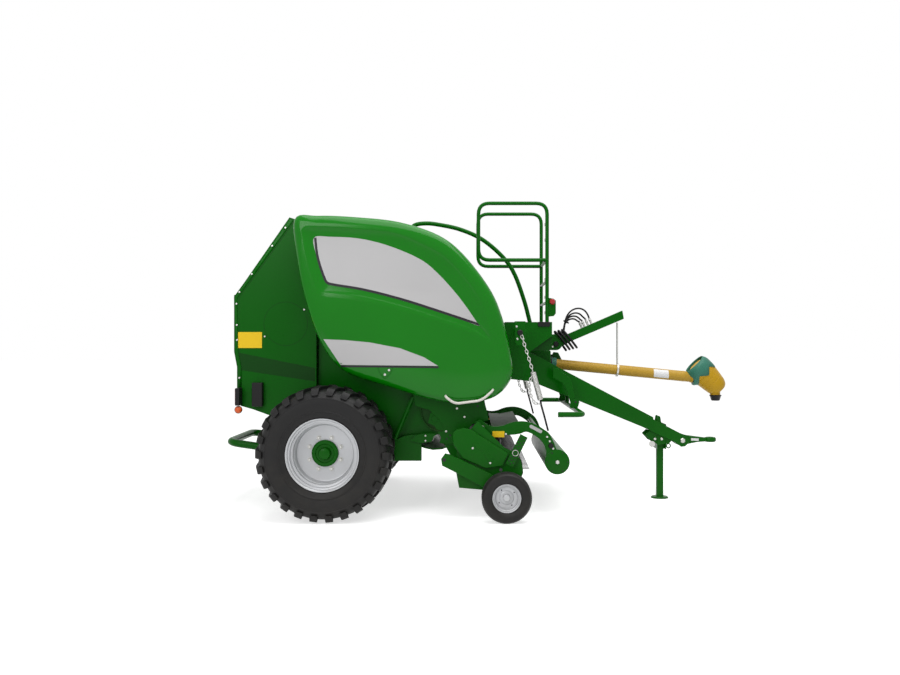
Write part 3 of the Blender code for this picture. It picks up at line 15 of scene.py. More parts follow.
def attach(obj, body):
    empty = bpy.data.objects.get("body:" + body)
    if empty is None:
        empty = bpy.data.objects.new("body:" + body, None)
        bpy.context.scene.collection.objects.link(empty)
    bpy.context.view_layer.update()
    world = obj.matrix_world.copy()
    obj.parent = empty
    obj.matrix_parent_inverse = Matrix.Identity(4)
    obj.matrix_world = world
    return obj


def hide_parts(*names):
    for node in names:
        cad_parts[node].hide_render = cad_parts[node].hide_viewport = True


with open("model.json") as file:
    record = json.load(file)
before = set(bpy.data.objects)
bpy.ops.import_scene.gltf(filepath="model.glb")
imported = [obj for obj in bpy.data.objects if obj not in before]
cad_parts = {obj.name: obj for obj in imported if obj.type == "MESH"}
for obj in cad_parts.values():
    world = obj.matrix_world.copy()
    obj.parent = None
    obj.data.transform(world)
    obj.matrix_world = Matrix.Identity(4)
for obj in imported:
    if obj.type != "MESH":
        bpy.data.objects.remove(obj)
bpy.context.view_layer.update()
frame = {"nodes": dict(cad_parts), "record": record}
nodes = frame["nodes"]

# Studio: a level camera off the right side, as the photograph was taken, over a pale floor that
# runs out into a white background, under one wide soft lamp overhead and one beside the camera.
LENS_MM = 35.56
CAMERA_PLACE = (-0.092, -8.4, 1.47)
camera = bpy.data.objects.new("camera", bpy.data.cameras.new("camera"))
bpy.context.scene.collection.objects.link(camera)
camera.location = CAMERA_PLACE
camera.rotation_euler = (math.radians(90), 0, 0)
camera.data.sensor_width = 36
camera.data.lens = LENS_MM
camera.data.shift_x = -0.0244
camera.data.shift_y = 0.005
bpy.context.scene.camera = camera
bpy.context.scene.view_settings.view_transform = "Standard"


def plain(tree, kind, **values):
    """New node whose inputs of those names are set, colours as three numbers."""
    node = tree.nodes.new("ShaderNode" + kind)
    for label, value in values.items():
        node.inputs[label].default_value = (*value, 1) if isinstance(value, tuple) else value
    return node


def background_mask(tree):
    """Value that is 1 for rays that see the background itself, in the camera, metal or glass."""
    path = tree.nodes.new("ShaderNodeLightPath")
    seen = path.outputs["Is Camera Ray"]
    for name in ("Is Glossy Ray", "Is Transmission Ray"):
        add = tree.nodes.new("ShaderNodeMath")
        add.operation = "MAXIMUM"
        tree.links.new(seen, add.inputs[0])
        tree.links.new(path.outputs[name], add.inputs[1])
        seen = add.outputs[0]
    return seen


world = bpy.data.worlds.new("studio")
world.use_nodes = True
bpy.context.scene.world = world
sky = world.node_tree
sky.nodes.clear()
sky_out = plain(sky, "OutputWorld")
sky_mix = plain(sky, "MixShader")
sky_soft = plain(sky, "Background", Color=(1, 1, 1), Strength=0.5)
sky_white = plain(sky, "Background", Color=(1, 1, 1), Strength=1.0)
sky.links.new(background_mask(sky), sky_mix.inputs[0])
sky.links.new(sky_soft.outputs[0], sky_mix.inputs[1])
sky.links.new(sky_white.outputs[0], sky_mix.inputs[2])
sky.links.new(sky_mix.outputs[0], sky_out.inputs[0])

for name, place, size, power in (
        ("lamp_overhead", (0.5, -1.5, 7.0), 6.0, 400), ("lamp_beside", (-4.0, -8.0, 5.0), 4.0, 210)):
    light = bpy.data.lights.new(name, "AREA")
    light.shape = "SQUARE"
    light.size = size
    light.energy = power
    lamp = bpy.data.objects.new(name, light)
    bpy.context.scene.collection.objects.link(lamp)
    lamp.location = place
    lamp.rotation_euler = (Vector((0, 0, 1)) - Vector(place)).to_track_quat("-Z", "Y").to_euler()

floor_mesh = bmesh.new()
bmesh.ops.create_grid(floor_mesh, x_segments=1, y_segments=1, size=60)
floor_data = bpy.data.meshes.new("floor")
floor_mesh.to_mesh(floor_data)
floor_mesh.free()
floor = bpy.data.objects.new("floor", floor_data)
bpy.context.scene.collection.objects.link(floor)
floor_paint = bpy.data.materials.new("pale_floor")
floor_paint.use_nodes = True
ground = floor_paint.node_tree
ground.nodes.clear()
ground_out = plain(ground, "OutputMaterial")
ground_add = plain(ground, "AddShader")
ground_matt = plain(ground, "BsdfDiffuse", Color=(0.8, 0.8, 0.8))
ground_glow = plain(ground, "Emission", Color=(1, 1, 1))
ground_level = plain(ground, "Math")
ground_level.operation = "MULTIPLY"
ground_level.inputs[1].default_value = 0.62
ground.links.new(background_mask(ground), ground_level.inputs[0])
ground.links.new(ground_level.outputs[0], ground_glow.inputs["Strength"])
ground.links.new(ground_matt.outputs[0], ground_add.inputs[0])
ground.links.new(ground_glow.outputs[0], ground_add.inputs[1])
ground.links.new(ground_add.outputs[0], ground_out.inputs[0])
floor_data.materials.append(floor_paint)


def effect(name, outputs, **inputs):
    """Empty shader node group with named number inputs and named outputs."""
    group = bpy.data.node_groups.new(name, "ShaderNodeTree")
    for label, value in inputs.items():
        socket = group.interface.new_socket(
            label.replace("_", " "), in_out="INPUT", socket_type="NodeSocketFloat")
        socket.default_value = value
    for label in outputs:
        group.interface.new_socket(label, in_out="OUTPUT", socket_type="NodeSocketFloat")
    return group, group.nodes.new("NodeGroupInput").outputs, group.nodes.new("NodeGroupOutput").inputs


def math_node(tree, operation, *values):
    """Math node whose inputs are numbers or other nodes' outputs."""
    node = tree.nodes.new("ShaderNodeMath")
    node.operation = operation
    for index, value in enumerate(values):
        if hasattr(value, "is_linked"):
            tree.links.new(value, node.inputs[index])
        else:
            node.inputs[index].default_value = value
    return node.outputs[0]


def noise(tree, scale, detail, roughness=0.5):
    """Noise on the piece's own object coordinates."""
    node = tree.nodes.new("ShaderNodeTexNoise")
    place = tree.nodes.new("ShaderNodeTexCoord")
    tree.links.new(place.outputs["Object"], node.inputs["Vector"])
    if hasattr(scale, "is_linked"):
        tree.links.new(scale, node.inputs["Scale"])
    else:
        node.inputs["Scale"].default_value = scale
    node.inputs["Detail"].default_value = detail
    node.inputs["Roughness"].default_value = roughness
    return node.outputs["Fac"]


# Shared effects of all finishes: a slow drift of shade, a fine grain, and dust that lies thicker
# low on the machine and on faces that look up.
drift, drift_in, drift_out = effect("shade_drift", ["Shade"], Scale=1.5, Amount=0.1)
drift_noise = noise(drift, drift_in["Scale"], 4)
drift_part = math_node(drift, "MULTIPLY", math_node(drift, "SUBTRACT", drift_noise, 0.5), drift_in["Amount"])
drift.links.new(
    math_node(drift, "ADD", math_node(drift, "MULTIPLY", drift_part, 2.0), 1.0), drift_out["Shade"])

grain, grain_in, grain_out = effect("fine_grain", ["Height", "Streak"], Scale=300.0)
grain.links.new(noise(grain, grain_in["Scale"], 3), grain_out["Height"])
streak = noise(grain, math_node(grain, "MULTIPLY", grain_in["Scale"], 0.08), 6, 0.7)
grain.links.new(streak, grain_out["Streak"])

dust, dust_in, dust_out = effect("road_dust", ["Mask"], Amount=0.3, Top=0.9)
dust_place = dust.nodes.new("ShaderNodeTexCoord")
dust_split = dust.nodes.new("ShaderNodeSeparateXYZ")
dust.links.new(dust_place.outputs["Object"], dust_split.inputs[0])
dust_low = math_node(
    dust, "SUBTRACT", 1.0, math_node(dust, "DIVIDE", dust_split.outputs["Z"], dust_in["Top"]))
dust_face = dust.nodes.new("ShaderNodeNewGeometry")
dust_turn = dust.nodes.new("ShaderNodeSeparateXYZ")
dust.links.new(dust_face.outputs["Normal"], dust_turn.inputs[0])
dust_up = math_node(dust, "MULTIPLY", math_node(dust, "MAXIMUM", dust_turn.outputs["Z"], 0.0), 0.25)
dust_sum = math_node(dust, "ADD", math_node(dust, "MAXIMUM", dust_low, 0.0), dust_up)
dust_spots = math_node(dust, "POWER", noise(dust, 9, 8, 0.65), 2.0)
dust_all = math_node(dust, "MULTIPLY", math_node(dust, "MULTIPLY", dust_sum, dust_spots), dust_in["Amount"])
dust_cap = math_node(dust, "MINIMUM", math_node(dust, "MULTIPLY", dust_all, 4.0), 0.85)
dust.links.new(dust_cap, dust_out["Mask"])


def finish(name, colour, roughness, metallic=0.0, shade=0.12, dust_amount=0.12,
           bump=0.1, gloss=0.5):
    """Painted, plated or moulded surface: drifting shade, fine grain and a little dust."""
    paint = bpy.data.materials.new(name)
    paint.use_nodes = True
    tree = paint.node_tree
    shader = tree.nodes["Principled BSDF"]
    shader.inputs["Metallic"].default_value = metallic
    shader.inputs["Specular IOR Level"].default_value = gloss
    parts = {}
    for label, group, values in (
            ("drift", drift, {"Scale": 1.7, "Amount": shade}), ("grain", grain, {"Scale": 300}),
            ("dust", dust, {"Amount": dust_amount, "Top": 1.1})):
        node = tree.nodes.new("ShaderNodeGroup")
        node.node_tree = group
        for key, value in values.items():
            node.inputs[key].default_value = value
        parts[label] = node
    tone = tree.nodes.new("ShaderNodeVectorMath")
    tone.operation = "SCALE"
    tone.inputs[0].default_value = colour
    tree.links.new(parts["drift"].outputs["Shade"], tone.inputs["Scale"])
    mix = tree.nodes.new("ShaderNodeMix")
    mix.data_type = "RGBA"
    tree.links.new(parts["dust"].outputs["Mask"], mix.inputs["Factor"])
    tree.links.new(tone.outputs[0], mix.inputs[6])
    mix.inputs[7].default_value = (0.2, 0.17, 0.12, 1)
    tree.links.new(mix.outputs[2], shader.inputs["Base Color"])
    worn = math_node(tree, "MULTIPLY", parts["grain"].outputs["Streak"], 0.16)
    rough = math_node(
        tree, "ADD", math_node(tree, "MULTIPLY", parts["dust"].outputs["Mask"], 0.5), roughness - 0.08)
    tree.links.new(math_node(tree, "ADD", worn, rough), shader.inputs["Roughness"])
    relief = tree.nodes.new("ShaderNodeBump")
    relief.inputs["Strength"].default_value = bump
    relief.inputs["Distance"].default_value = 0.0006
    tree.links.new(parts["grain"].outputs["Height"], relief.inputs["Height"])
    tree.links.new(relief.outputs[0], shader.inputs["Normal"])
    return paint


cover_paint = finish(
    "cover_paint", (0.0015, 0.165, 0.001), 0.14, dust_amount=0.0, bump=0.02, gloss=0.22)
frame_paint = finish(
    "frame_paint", (0.0012, 0.094, 0.0012), 0.3, dust_amount=0.03, bump=0.02, gloss=0.1)
rubber = finish(
    "tyre_rubber", (0.0055, 0.0055, 0.006), 0.5, dust_amount=0.03, bump=0.3, gloss=0.25)
black_plastic = finish(
    "black_plastic", (0.006, 0.006, 0.0065), 0.45, dust_amount=0.03, gloss=0.2)
silver_paint = finish("silver_paint", (0.5, 0.51, 0.53), 0.34, metallic=0.25)
zinc_plate = finish("zinc_plate", (0.52, 0.52, 0.5), 0.36, metallic=0.85)
tine_steel = finish("tine_steel", (0.1, 0.1, 0.105), 0.4, metallic=0.7)
guard_plastic = finish(
    "guard_plastic", (0.44, 0.265, 0.03), 0.42, dust_amount=0.05, gloss=0.2)
teal_plastic = finish("teal_plastic", (0.03, 0.16, 0.11), 0.5, gloss=0.3)
field_grey = finish(
    "field_grey", (0.46, 0.455, 0.46), 0.4, shade=0.06, dust_amount=0.0, bump=0.02, gloss=0.3)
# Black of the covers' stripes and of small bolts; also used as painted shade for holes and notches drawn as
# flat dots.
black_trim_and_hole_shade = finish("black_trim_and_hole_shade", (0.01, 0.008, 0.012), 0.4, dust_amount=0.0, gloss=0.3)
label_yellow = finish("label_yellow", (0.8, 0.52, 0.004), 0.45, dust_amount=0.0, gloss=0.3)
label_white = finish("label_white", (0.72, 0.72, 0.72), 0.45, dust_amount=0.0, gloss=0.3)
lens_orange = finish("lens_orange", (0.75, 0.11, 0.01), 0.3, dust_amount=0.0)
lens_red = finish("lens_red", (0.35, 0.008, 0.012), 0.25, dust_amount=0.0)
handle_white = finish("handle_white", (0.62, 0.6, 0.55), 0.35, dust_amount=0.04)

# Welded steel frame: plates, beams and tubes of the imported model, painted dark green after welding.
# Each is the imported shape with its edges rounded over, as folded and ground plate has them.
AXLE_X = -1.3
SIDES = (("right", -1), ("left", 1))
BODY_OF = {node: body for body, held in frame["record"]["behaviour"]["bodies"].items() for node in held}


def at(x, y, z):
    """Place whose X is counted from the main axle."""
    return (AXLE_X + x, y, z)


def seated(piece, body, stands_for):
    """Puts a piece in the scene on its body, for the CAD nodes that it stands for."""
    bpy.context.scene.collection.objects.link(piece)
    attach(piece, body)
    if stands_for:
        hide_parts(*stands_for)
    return piece


def made(name, solid, paint, body="chassis", stands_for=(), smooth=30, soften=0.0):
    """Turns a bmesh into a finished piece, its edges rounded over by a width if one is given."""
    mesh = bpy.data.meshes.new(name)
    solid.to_mesh(mesh)
    solid.free()
    mesh.shade_smooth()
    mesh.set_sharp_from_angle(angle=math.radians(smooth))
    paints = paint if isinstance(paint, list) else [paint]
    for one in paints:
        mesh.materials.append(one)
    piece = bpy.data.objects.new(name, mesh)
    if soften:
        rounding = piece.modifiers.new("rounding", "BEVEL")
        rounding.width = soften
        rounding.segments = 2
        rounding.limit_method = "ANGLE"
        rounding.angle_limit = math.radians(50)
        rounding.harden_normals = True
    return seated(piece, body, stands_for)


def softened(node, paint, width):
    """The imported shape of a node, merged and with its edges rounded over."""
    solid = bmesh.new()
    solid.from_mesh(nodes[node].data)
    bmesh.ops.remove_doubles(solid, verts=solid.verts, dist=0.00005)
    bmesh.ops.dissolve_limit(solid, angle_limit=math.radians(1), verts=solid.verts, edges=solid.edges)
    return made(
        "shown_" + node, solid, paint, BODY_OF[node], stands_for=(node,), smooth=42, soften=width)


for paint, width, node_names in (
        (frame_paint, 0.0025, (
            "axle_beam", "side_frame_right", "side_frame_left", "intake_floor", "front_frame",
            "drawbar_beam_right", "drawbar_beam_left", "safety_bar", "bale_ramp", "crop_roller",
            "pickup_frame", "chamber_front", "tailgate_frame", "tailgate_panel", "ram_barrel_right",
            "ram_barrel_left")),
        (zinc_plate, 0.0012, ("feed_rotor", "ram_rod_right", "ram_rod_left", "pto_hook")),
        (tine_steel, 0.0008, ("tine_reel",)), (frame_paint, 0.012, ("gearbox",)),
        (black_plastic, 0.006, ("wheel_chock",)), (black_plastic, 0.0012, ("pickup_bands",)),
        (black_plastic, 0.006, ("lamp_right", "lamp_left"))):
    for node_name in node_names:
        softened(node_name, paint, width)

# Road wheels: low wide flotation tyres moulded with slanting shoulder lugs, on silver welded rims with
# a dished disc, held by eight nuts to a green cast hub.
TYRE_HALF = (
    (0.283, 0.226), (0.3, 0.243), (0.318, 0.253), (0.345, 0.262), (0.349, 0.2665), (0.356, 0.2665),
    (0.36, 0.2635), (0.4, 0.2725), (0.432, 0.2738), (0.455, 0.271), (0.459, 0.2735), (0.466, 0.273),
    (0.47, 0.267), (0.49, 0.257), (0.512, 0.235), (0.524, 0.2), (0.529, 0.1), (0.53, 0.0))
LUG_STATIONS = (
    (0.012, 0.5545, 0.0, 0.045), (0.1, 0.555, 0.055, 0.05), (0.19, 0.5535, 0.092, 0.056),
    (0.236, 0.543, 0.106, 0.06), (0.259, 0.52, 0.112, 0.062), (0.2705, 0.488, 0.114, 0.05))
LUG_COUNT = 26
LUG_THICK = 0.034
WHEEL_Y, WHEEL_Z = 0.995, 0.555
NUT_COUNT, NUT_CIRCLE = 8, 0.1375
RIM_PROFILE = (
    (0.2975, 0.243), (0.298, 0.2495), (0.291, 0.25), (0.284, 0.243), (0.28, 0.228), (0.268, 0.222),
    (0.265, 0.19), (0.25, 0.182), (0.247, 0.15), (0.24, 0.142), (0.237, 0.105), (0.23, 0.09), (0.215, 0.085),
    (0.11, 0.085), (0.108, 0.06), (0.235, 0.06), (0.243, -0.235), (0.291, -0.25), (0.298, -0.2495),
    (0.2975, -0.243), (0.281, -0.225), (0.279, 0.0), (0.281, 0.225))
HUB_PROFILE = (
    (0.0, 0.145), (0.03, 0.144), (0.044, 0.138), (0.05, 0.122), (0.054, 0.102), (0.074, 0.1), (0.08, 0.109),
    (0.098, 0.109), (0.1095, 0.102), (0.1095, 0.06), (0.0, 0.06))


def stood(solid, place, axis):
    """Turns a shape that was made along Z to an axis and moves it to its place."""
    turn = Vector((0, 0, 1)).rotation_difference(Vector(axis)).to_matrix().to_4x4()
    bmesh.ops.transform(solid, matrix=Matrix.Translation(place) @ turn, verts=solid.verts)
    return solid


def spun(profile, centre, axis, steps=96):
    """Ring spun from a closed profile of (radius, distance along the axis)."""
    solid = bmesh.new()
    verts = [solid.verts.new((r, 0, w)) for r, w in profile]
    edges = [solid.edges.new((verts[i - 1], verts[i])) for i in [*range(1, len(verts)), 0]]
    bmesh.ops.spin(
        solid, geom=verts + edges, cent=(0, 0, 0), axis=(0, 0, 1), dvec=(0, 0, 0), angle=math.tau,
        steps=steps, use_merge=True, use_duplicate=False)
    bmesh.ops.remove_doubles(solid, verts=solid.verts, dist=0.00002)
    bmesh.ops.recalc_face_normals(solid, faces=solid.faces)
    return stood(solid, centre, axis)


def joined(*solids):
    """Several bmeshes gathered into one."""
    whole = bmesh.new()
    for solid in solids:
        carrier = bpy.data.meshes.new("carrier")
        solid.to_mesh(carrier)
        solid.free()
        whole.from_mesh(carrier)
        bpy.data.meshes.remove(carrier)
    return whole


def nut(centre, axis, radius=0.012, high=0.01, sides=6):
    """Hexagon head, chamfered, standing on a face at centre."""
    solid = bmesh.new()
    bmesh.ops.create_cone(solid, cap_ends=True, segments=sides, radius1=radius, radius2=radius, depth=high)
    top = [edge for edge in solid.edges if all(v.co.z > 0 for v in edge.verts)]
    bmesh.ops.bevel(
        solid, geom=top, offset=radius * 0.2, affect="EDGES", segments=1, profile=0.5, material=-1)
    return stood(solid, Vector(centre) + Vector(axis).normalized() * (high / 2), axis)


def tyre_lug(side, shift):
    """One shoulder lug: a strip laid across half the tread and over the shoulder, given its thickness."""
    solid = bmesh.new()
    edge = None
    for w, r, turn, half in LUG_STATIONS:
        ends = [
            (r * math.cos(turn + shift + way * half), side * w, r * math.sin(turn + shift + way * half))
            for way in (-1, 1)]
        if edge is None:
            edge = solid.edges.new([solid.verts.new(point) for point in ends])
            continue
        grown = bmesh.ops.extrude_edge_only(solid, edges=[edge])["geom"]
        edge = next(item for item in grown if isinstance(item, bmesh.types.BMEdge))
        for vert, point in zip(sorted(edge.verts, key=lambda v: v.index if v.index >= 0 else 10 ** 6), ends):
            vert.co = point
        solid.verts.index_update()
    bmesh.ops.recalc_face_normals(solid, faces=solid.faces)
    outwards = sum((face.normal.dot(face.calc_center_median() * Vector((1, 0, 1))) for face in solid.faces))
    if outwards < 0:
        bmesh.ops.reverse_faces(solid, faces=solid.faces)
    bmesh.ops.solidify(solid, geom=solid.faces, thickness=LUG_THICK)
    bmesh.ops.recalc_face_normals(solid, faces=solid.faces)
    bmesh.ops.spin(
        solid, geom=solid.verts[:] + solid.edges[:] + solid.faces[:], cent=(0, 0, 0), axis=(0, 1, 0),
        dvec=(0, 0, 0), angle=math.tau * (LUG_COUNT - 1) / LUG_COUNT, steps=LUG_COUNT - 1, use_merge=False,
        use_duplicate=True)
    return solid


for label, side in SIDES:
    centre = at(0, side * WHEEL_Y, WHEEL_Z)
    outline = TYRE_HALF + tuple((r, -w) for r, w in reversed(TYRE_HALF[:-1]))
    tread = joined(tyre_lug(1, 0.0), tyre_lug(-1, math.pi / LUG_COUNT))
    bmesh.ops.translate(tread, verts=tread.verts, vec=centre)
    made("tread_" + label, tread, rubber, "wheel_" + label, soften=0.004)
    carcass = spun(outline, centre, (0, side, 0), 120)
    made("tyre_shown_" + label, carcass, rubber, "wheel_" + label, stands_for=("tyre_" + label,))
    made(
        "rim_shown_" + label, spun(RIM_PROFILE, centre, (0, side, 0), 96), silver_paint, "wheel_" + label,
        stands_for=("rim_" + label,))
    hub = spun(HUB_PROFILE, centre, (0, side, 0), 48)
    made("hub_" + label, hub, frame_paint, "wheel_" + label)
    nuts = []
    for index in range(NUT_COUNT):
        turn = math.tau * (index + 0.5) / NUT_COUNT
        spot = at(
            NUT_CIRCLE * math.cos(turn), side * (WHEEL_Y + 0.085), WHEEL_Z + NUT_CIRCLE * math.sin(turn))
        nuts.append(spun(((0.0, 0.004), (0.019, 0.004), (0.02, 0.0), (0.0, 0.0)), spot, (0, side, 0), 16))
        nuts.append(nut((spot[0], spot[1] + side * 0.004, spot[2]), (0, side, 0), 0.014, 0.014))
    made("wheel_nuts_" + label, joined(*nuts), zinc_plate, "wheel_" + label)

# Pick-up gauge wheels: small ribbed implement tyres on pressed silver rims with a plain greased boss.
GAUGE_HALF = (
    (0.112, 0.048), (0.118, 0.06), (0.132, 0.071), (0.152, 0.079), (0.172, 0.0815), (0.188, 0.0765),
    (0.199, 0.064), (0.2035, 0.05), (0.205, 0.046), (0.205, 0.034), (0.2, 0.032), (0.2, 0.027),
    (0.205, 0.025), (0.205, 0.006), (0.2, 0.004), (0.2, 0.0))
GAUGE_RIM = (
    (0.1175, 0.05), (0.1185, 0.056), (0.114, 0.058), (0.108, 0.054), (0.104, 0.04), (0.096, 0.034),
    (0.092, 0.012), (0.084, 0.006), (0.06, 0.004), (0.052, 0.01), (0.04, 0.012), (0.032, 0.014), (0.03, 0.04),
    (0.022, 0.046), (0.0, 0.047), (0.0, -0.057), (0.034, -0.055), (0.036, -0.008), (0.092, -0.006),
    (0.108, -0.054), (0.1175, -0.058))
GAUGE_AT = (0.19, 1.17, 0.205)
for label, side in SIDES:
    centre = (GAUGE_AT[0], side * GAUGE_AT[1], GAUGE_AT[2])
    outline = GAUGE_HALF + tuple((r, -w) for r, w in reversed(GAUGE_HALF[:-1]))
    body = "gauge_wheel_" + label
    made(
        "gauge_tyre_shown_" + label, spun(outline, centre, (0, side, 0), 72), rubber, body,
        stands_for=("gauge_tyre_" + label,))
    made(
        "gauge_rim_shown_" + label, spun(GAUGE_RIM, centre, (0, side, 0), 64), silver_paint, body,
        stands_for=("gauge_rim_" + label,))
    bolts = [
        nut((centre[0] + 0.074 * math.cos(turn), side * (GAUGE_AT[1] + 0.004),
        centre[2] + 0.074 * math.sin(turn)), (0, side, 0), 0.006, 0.003) for turn in (0.6, 2.17, 3.74, 5.31)]
    made("gauge_bolts_" + label, joined(*bolts), black_trim_and_hole_shade, body)

# Side covers: large moulded covers with a rolled edge, a sunk silver field edged by a black stripe, a
# lower silver field, a pressed latch pocket whose crease is a darker green ribbon of painted shade, and a
# bent tube handle, hinged along their upper edge.
COVER_ROWS = (
    (-0.286, 2.499, -0.198, 2.407, -0.11, 2.34), (-0.083, 2.534, -0.04, 2.425, 0.026, 2.348),
    (0.2505, 2.521, 0.248, 2.407, 0.276, 2.332), (0.6007, 2.48, 0.56, 2.3755, 0.525, 2.269),
    (0.9288, 2.37, 0.812, 2.2737, 0.775, 2.161), (1.1407, 2.204, 1.0, 2.16, 0.92, 2.046),
    (1.3526, 1.929, 1.188, 1.9526, 1.068, 1.884), (1.4577, 1.696, 1.29, 1.78, 1.172, 1.748),
    (1.535, 1.38, 1.345, 1.56, 1.245, 1.64), (1.5406, 1.17, 1.352, 1.483, 1.27, 1.604),
    (1.4006, 1.01, 1.22, 1.565, 1.15, 1.645), (1.1407, 0.9566, 0.93, 1.668, 0.9, 1.728),
    (0.8495, 0.9929, 0.62, 1.765, 0.609, 1.82), (0.4993, 1.097, 0.3, 1.842, 0.3, 1.898),
    (0.2008, 1.19, 0.06, 1.872, 0.06, 1.938), (0.0496, 1.299, -0.05, 1.885, -0.006, 1.958),
    (-0.072, 1.487, -0.085, 1.94, -0.036, 2.01), (-0.1678, 1.7477, -0.135, 2.09, -0.068, 2.1),
    (-0.2526, 2.098, -0.18, 2.26, -0.094, 2.2))
COVER_EDGE = (
    (0.0, 0.845), (0.0, 0.905), (0.003, 0.932), (0.01, 0.954), (0.022, 0.971), (0.04, 0.984), (0.062, 0.9922))
COVER_FACE = ((0.35, 0.9972), (0.7, 0.9994), (0.94, 1.0), (1.0, 0.9985))
RECESS_WALL = ((0.12, 0.9945), (0.5, 0.9885), (0.88, 0.9832), (1.0, 0.982))
LOWER_FIELD = (
    (-0.03, 1.493), (0.151, 1.486), (0.359, 1.466), (0.609, 1.418), (0.808, 1.343), (0.925, 1.271),
    (0.113, 1.279))
HANDLE_LINE = (
    (0.988, 0.985, 1.021), (0.992, 1.012, 1.012), (1.065, 1.012, 0.956), (1.29, 1.012, 0.985),
    (1.376, 1.012, 1.062), (1.384, 0.985, 1.073))
HOOD_LINE = (
    (0.02, 2.489), (0.2505, 2.476), (0.6007, 2.435), (0.9288, 2.325), (1.1407, 2.159), (1.3526, 1.884),
    (1.425, 1.69))


def smooth_line(points, parts, closed=True):
    """Points on a smooth curve through the given ones."""
    count = len(points)
    line = []
    for index in range(count if closed else count - 1):
        a, b, c, d = (
            Vector(points[(index + k) % count] if closed else points[max(0, min(count - 1, index + k))])
            for k in (-1, 0, 1, 2))
        for part in range(parts):
            t = part / parts
            line.append(
                0.5 * (2 * b + (c - a) * t + (2 * a - 5 * b + 4 * c - d) * t ** 2
                + (3 * b - a - 3 * c + d) * t ** 3))
    if not closed:
        line.append(Vector(points[-1]))
    return line


def facing(sheet, way):
    """Turns a sheet over, if need be, so that its first face looks the given way."""
    bmesh.ops.recalc_face_normals(sheet, faces=sheet.faces)
    sheet.faces.ensure_lookup_table()
    if sheet.faces[0].normal.dot(Vector(way)) < 0:
        bmesh.ops.reverse_faces(sheet, faces=sheet.faces)
    return sheet


def walled(piece, thickness):
    """Gives a sheet its thickness, inwards."""
    wall = piece.modifiers.new("wall", "SOLIDIFY")
    wall.thickness = thickness
    wall.offset = -1


def ribbon(points, width, y, side):
    """Flat strip along a line of (x, z), its width laid off to one hand, facing outwards."""
    solid = bmesh.new()
    line = [Vector(point) for point in points]
    for index, here in enumerate(line):
        ahead = line[min(index + 1, len(line) - 1)] - line[max(index - 1, 0)]
        across = Vector((ahead.y, -ahead.x)).normalized() * width
        pair = [solid.verts.new(at(p.x, side * y, p.y)) for p in (here, here + across)]
        if index:
            solid.faces.new((*last, pair[1], pair[0]))
        last = pair
    return facing(solid, (0, side, 0))


def tube(name, lines, radius, paint, body="chassis", stands_for=()):
    """Round tube along one or more lines of points, made as a curve."""
    path = bpy.data.curves.new(name, "CURVE")
    path.dimensions = "3D"
    path.bevel_depth = radius
    path.bevel_resolution = 5
    path.use_fill_caps = True
    for line in lines:
        spline = path.splines.new("POLY")
        spline.points.add(len(line) - 1)
        for point, place in zip(spline.points, line):
            point.co = (*place, 1)
        spline.use_smooth = True
    path.materials.append(paint)
    return seated(bpy.data.objects.new(name, path), body, stands_for)


def rounded(points, radius, steps=6):
    """Line of points whose inner corners are turned into arcs of about that radius."""
    line = [Vector(points[0])]
    for before, here, after in zip(points, points[1:], points[2:]):
        here, one, two = Vector(here), Vector(before) - Vector(here), Vector(after) - Vector(here)
        reach = min(radius, one.length * 0.49, two.length * 0.49)
        start, end = here + one.normalized() * reach, here + two.normalized() * reach
        for step in range(steps + 1):
            t = step / steps
            line.append(start * (1 - t) ** 2 + here * 2 * t * (1 - t) + end * t ** 2)
    line.append(Vector(points[-1]))
    return line


def laid(flat, tree, side, lift=0.0012):
    """Moves each corner of a flat sheet onto the shell under it."""
    for vert in flat.verts:
        hit = tree.ray_cast(Vector((vert.co.x, side * 1.2, vert.co.z)), Vector((0, -side, 0)))[0]
        if hit:
            vert.co.y = hit.y + side * lift
    return facing(flat, (0, side, 0))


def field_sheet(corners, columns=48, rows=16):
    """Even grid in the shape of a convex outline of (x, z)."""
    xs, zs = [p[0] for p in corners], [p[1] for p in corners]
    solid = bmesh.new()
    bmesh.ops.create_grid(solid, x_segments=columns, y_segments=rows, size=0.5)
    centre = at((min(xs) + max(xs)) / 2, 0, (min(zs) + max(zs)) / 2)
    upright = Matrix.Translation(centre) @ Matrix.Rotation(math.pi / 2, 4, "X")
    sizes = Matrix.Diagonal((max(xs) - min(xs), max(zs) - min(zs), 1, 1))
    bmesh.ops.transform(solid, verts=solid.verts, matrix=upright @ sizes)
    middle = Vector(at(sum(xs) / len(xs), 0, sum(zs) / len(zs)))
    for one, two in zip(corners, corners[1:] + corners[:1]):
        a, b = Vector(at(one[0], 0, one[1])), Vector(at(two[0], 0, two[1]))
        across = Vector((-(b - a).z, 0, (b - a).x))
        if across.dot(middle - a) > 0:
            across = -across
        bmesh.ops.bisect_plane(
            solid, geom=solid.verts[:] + solid.edges[:] + solid.faces[:], plane_co=a, plane_no=across,
            clear_outer=True)
    return solid


def heads(spots, y, side, radius=0.01, high=0.006, sides=6):
    """Bolt heads on a side face."""
    return joined(*[nut(at(x, side * y, z), (0, side, 0), radius, high, sides) for x, z in spots])


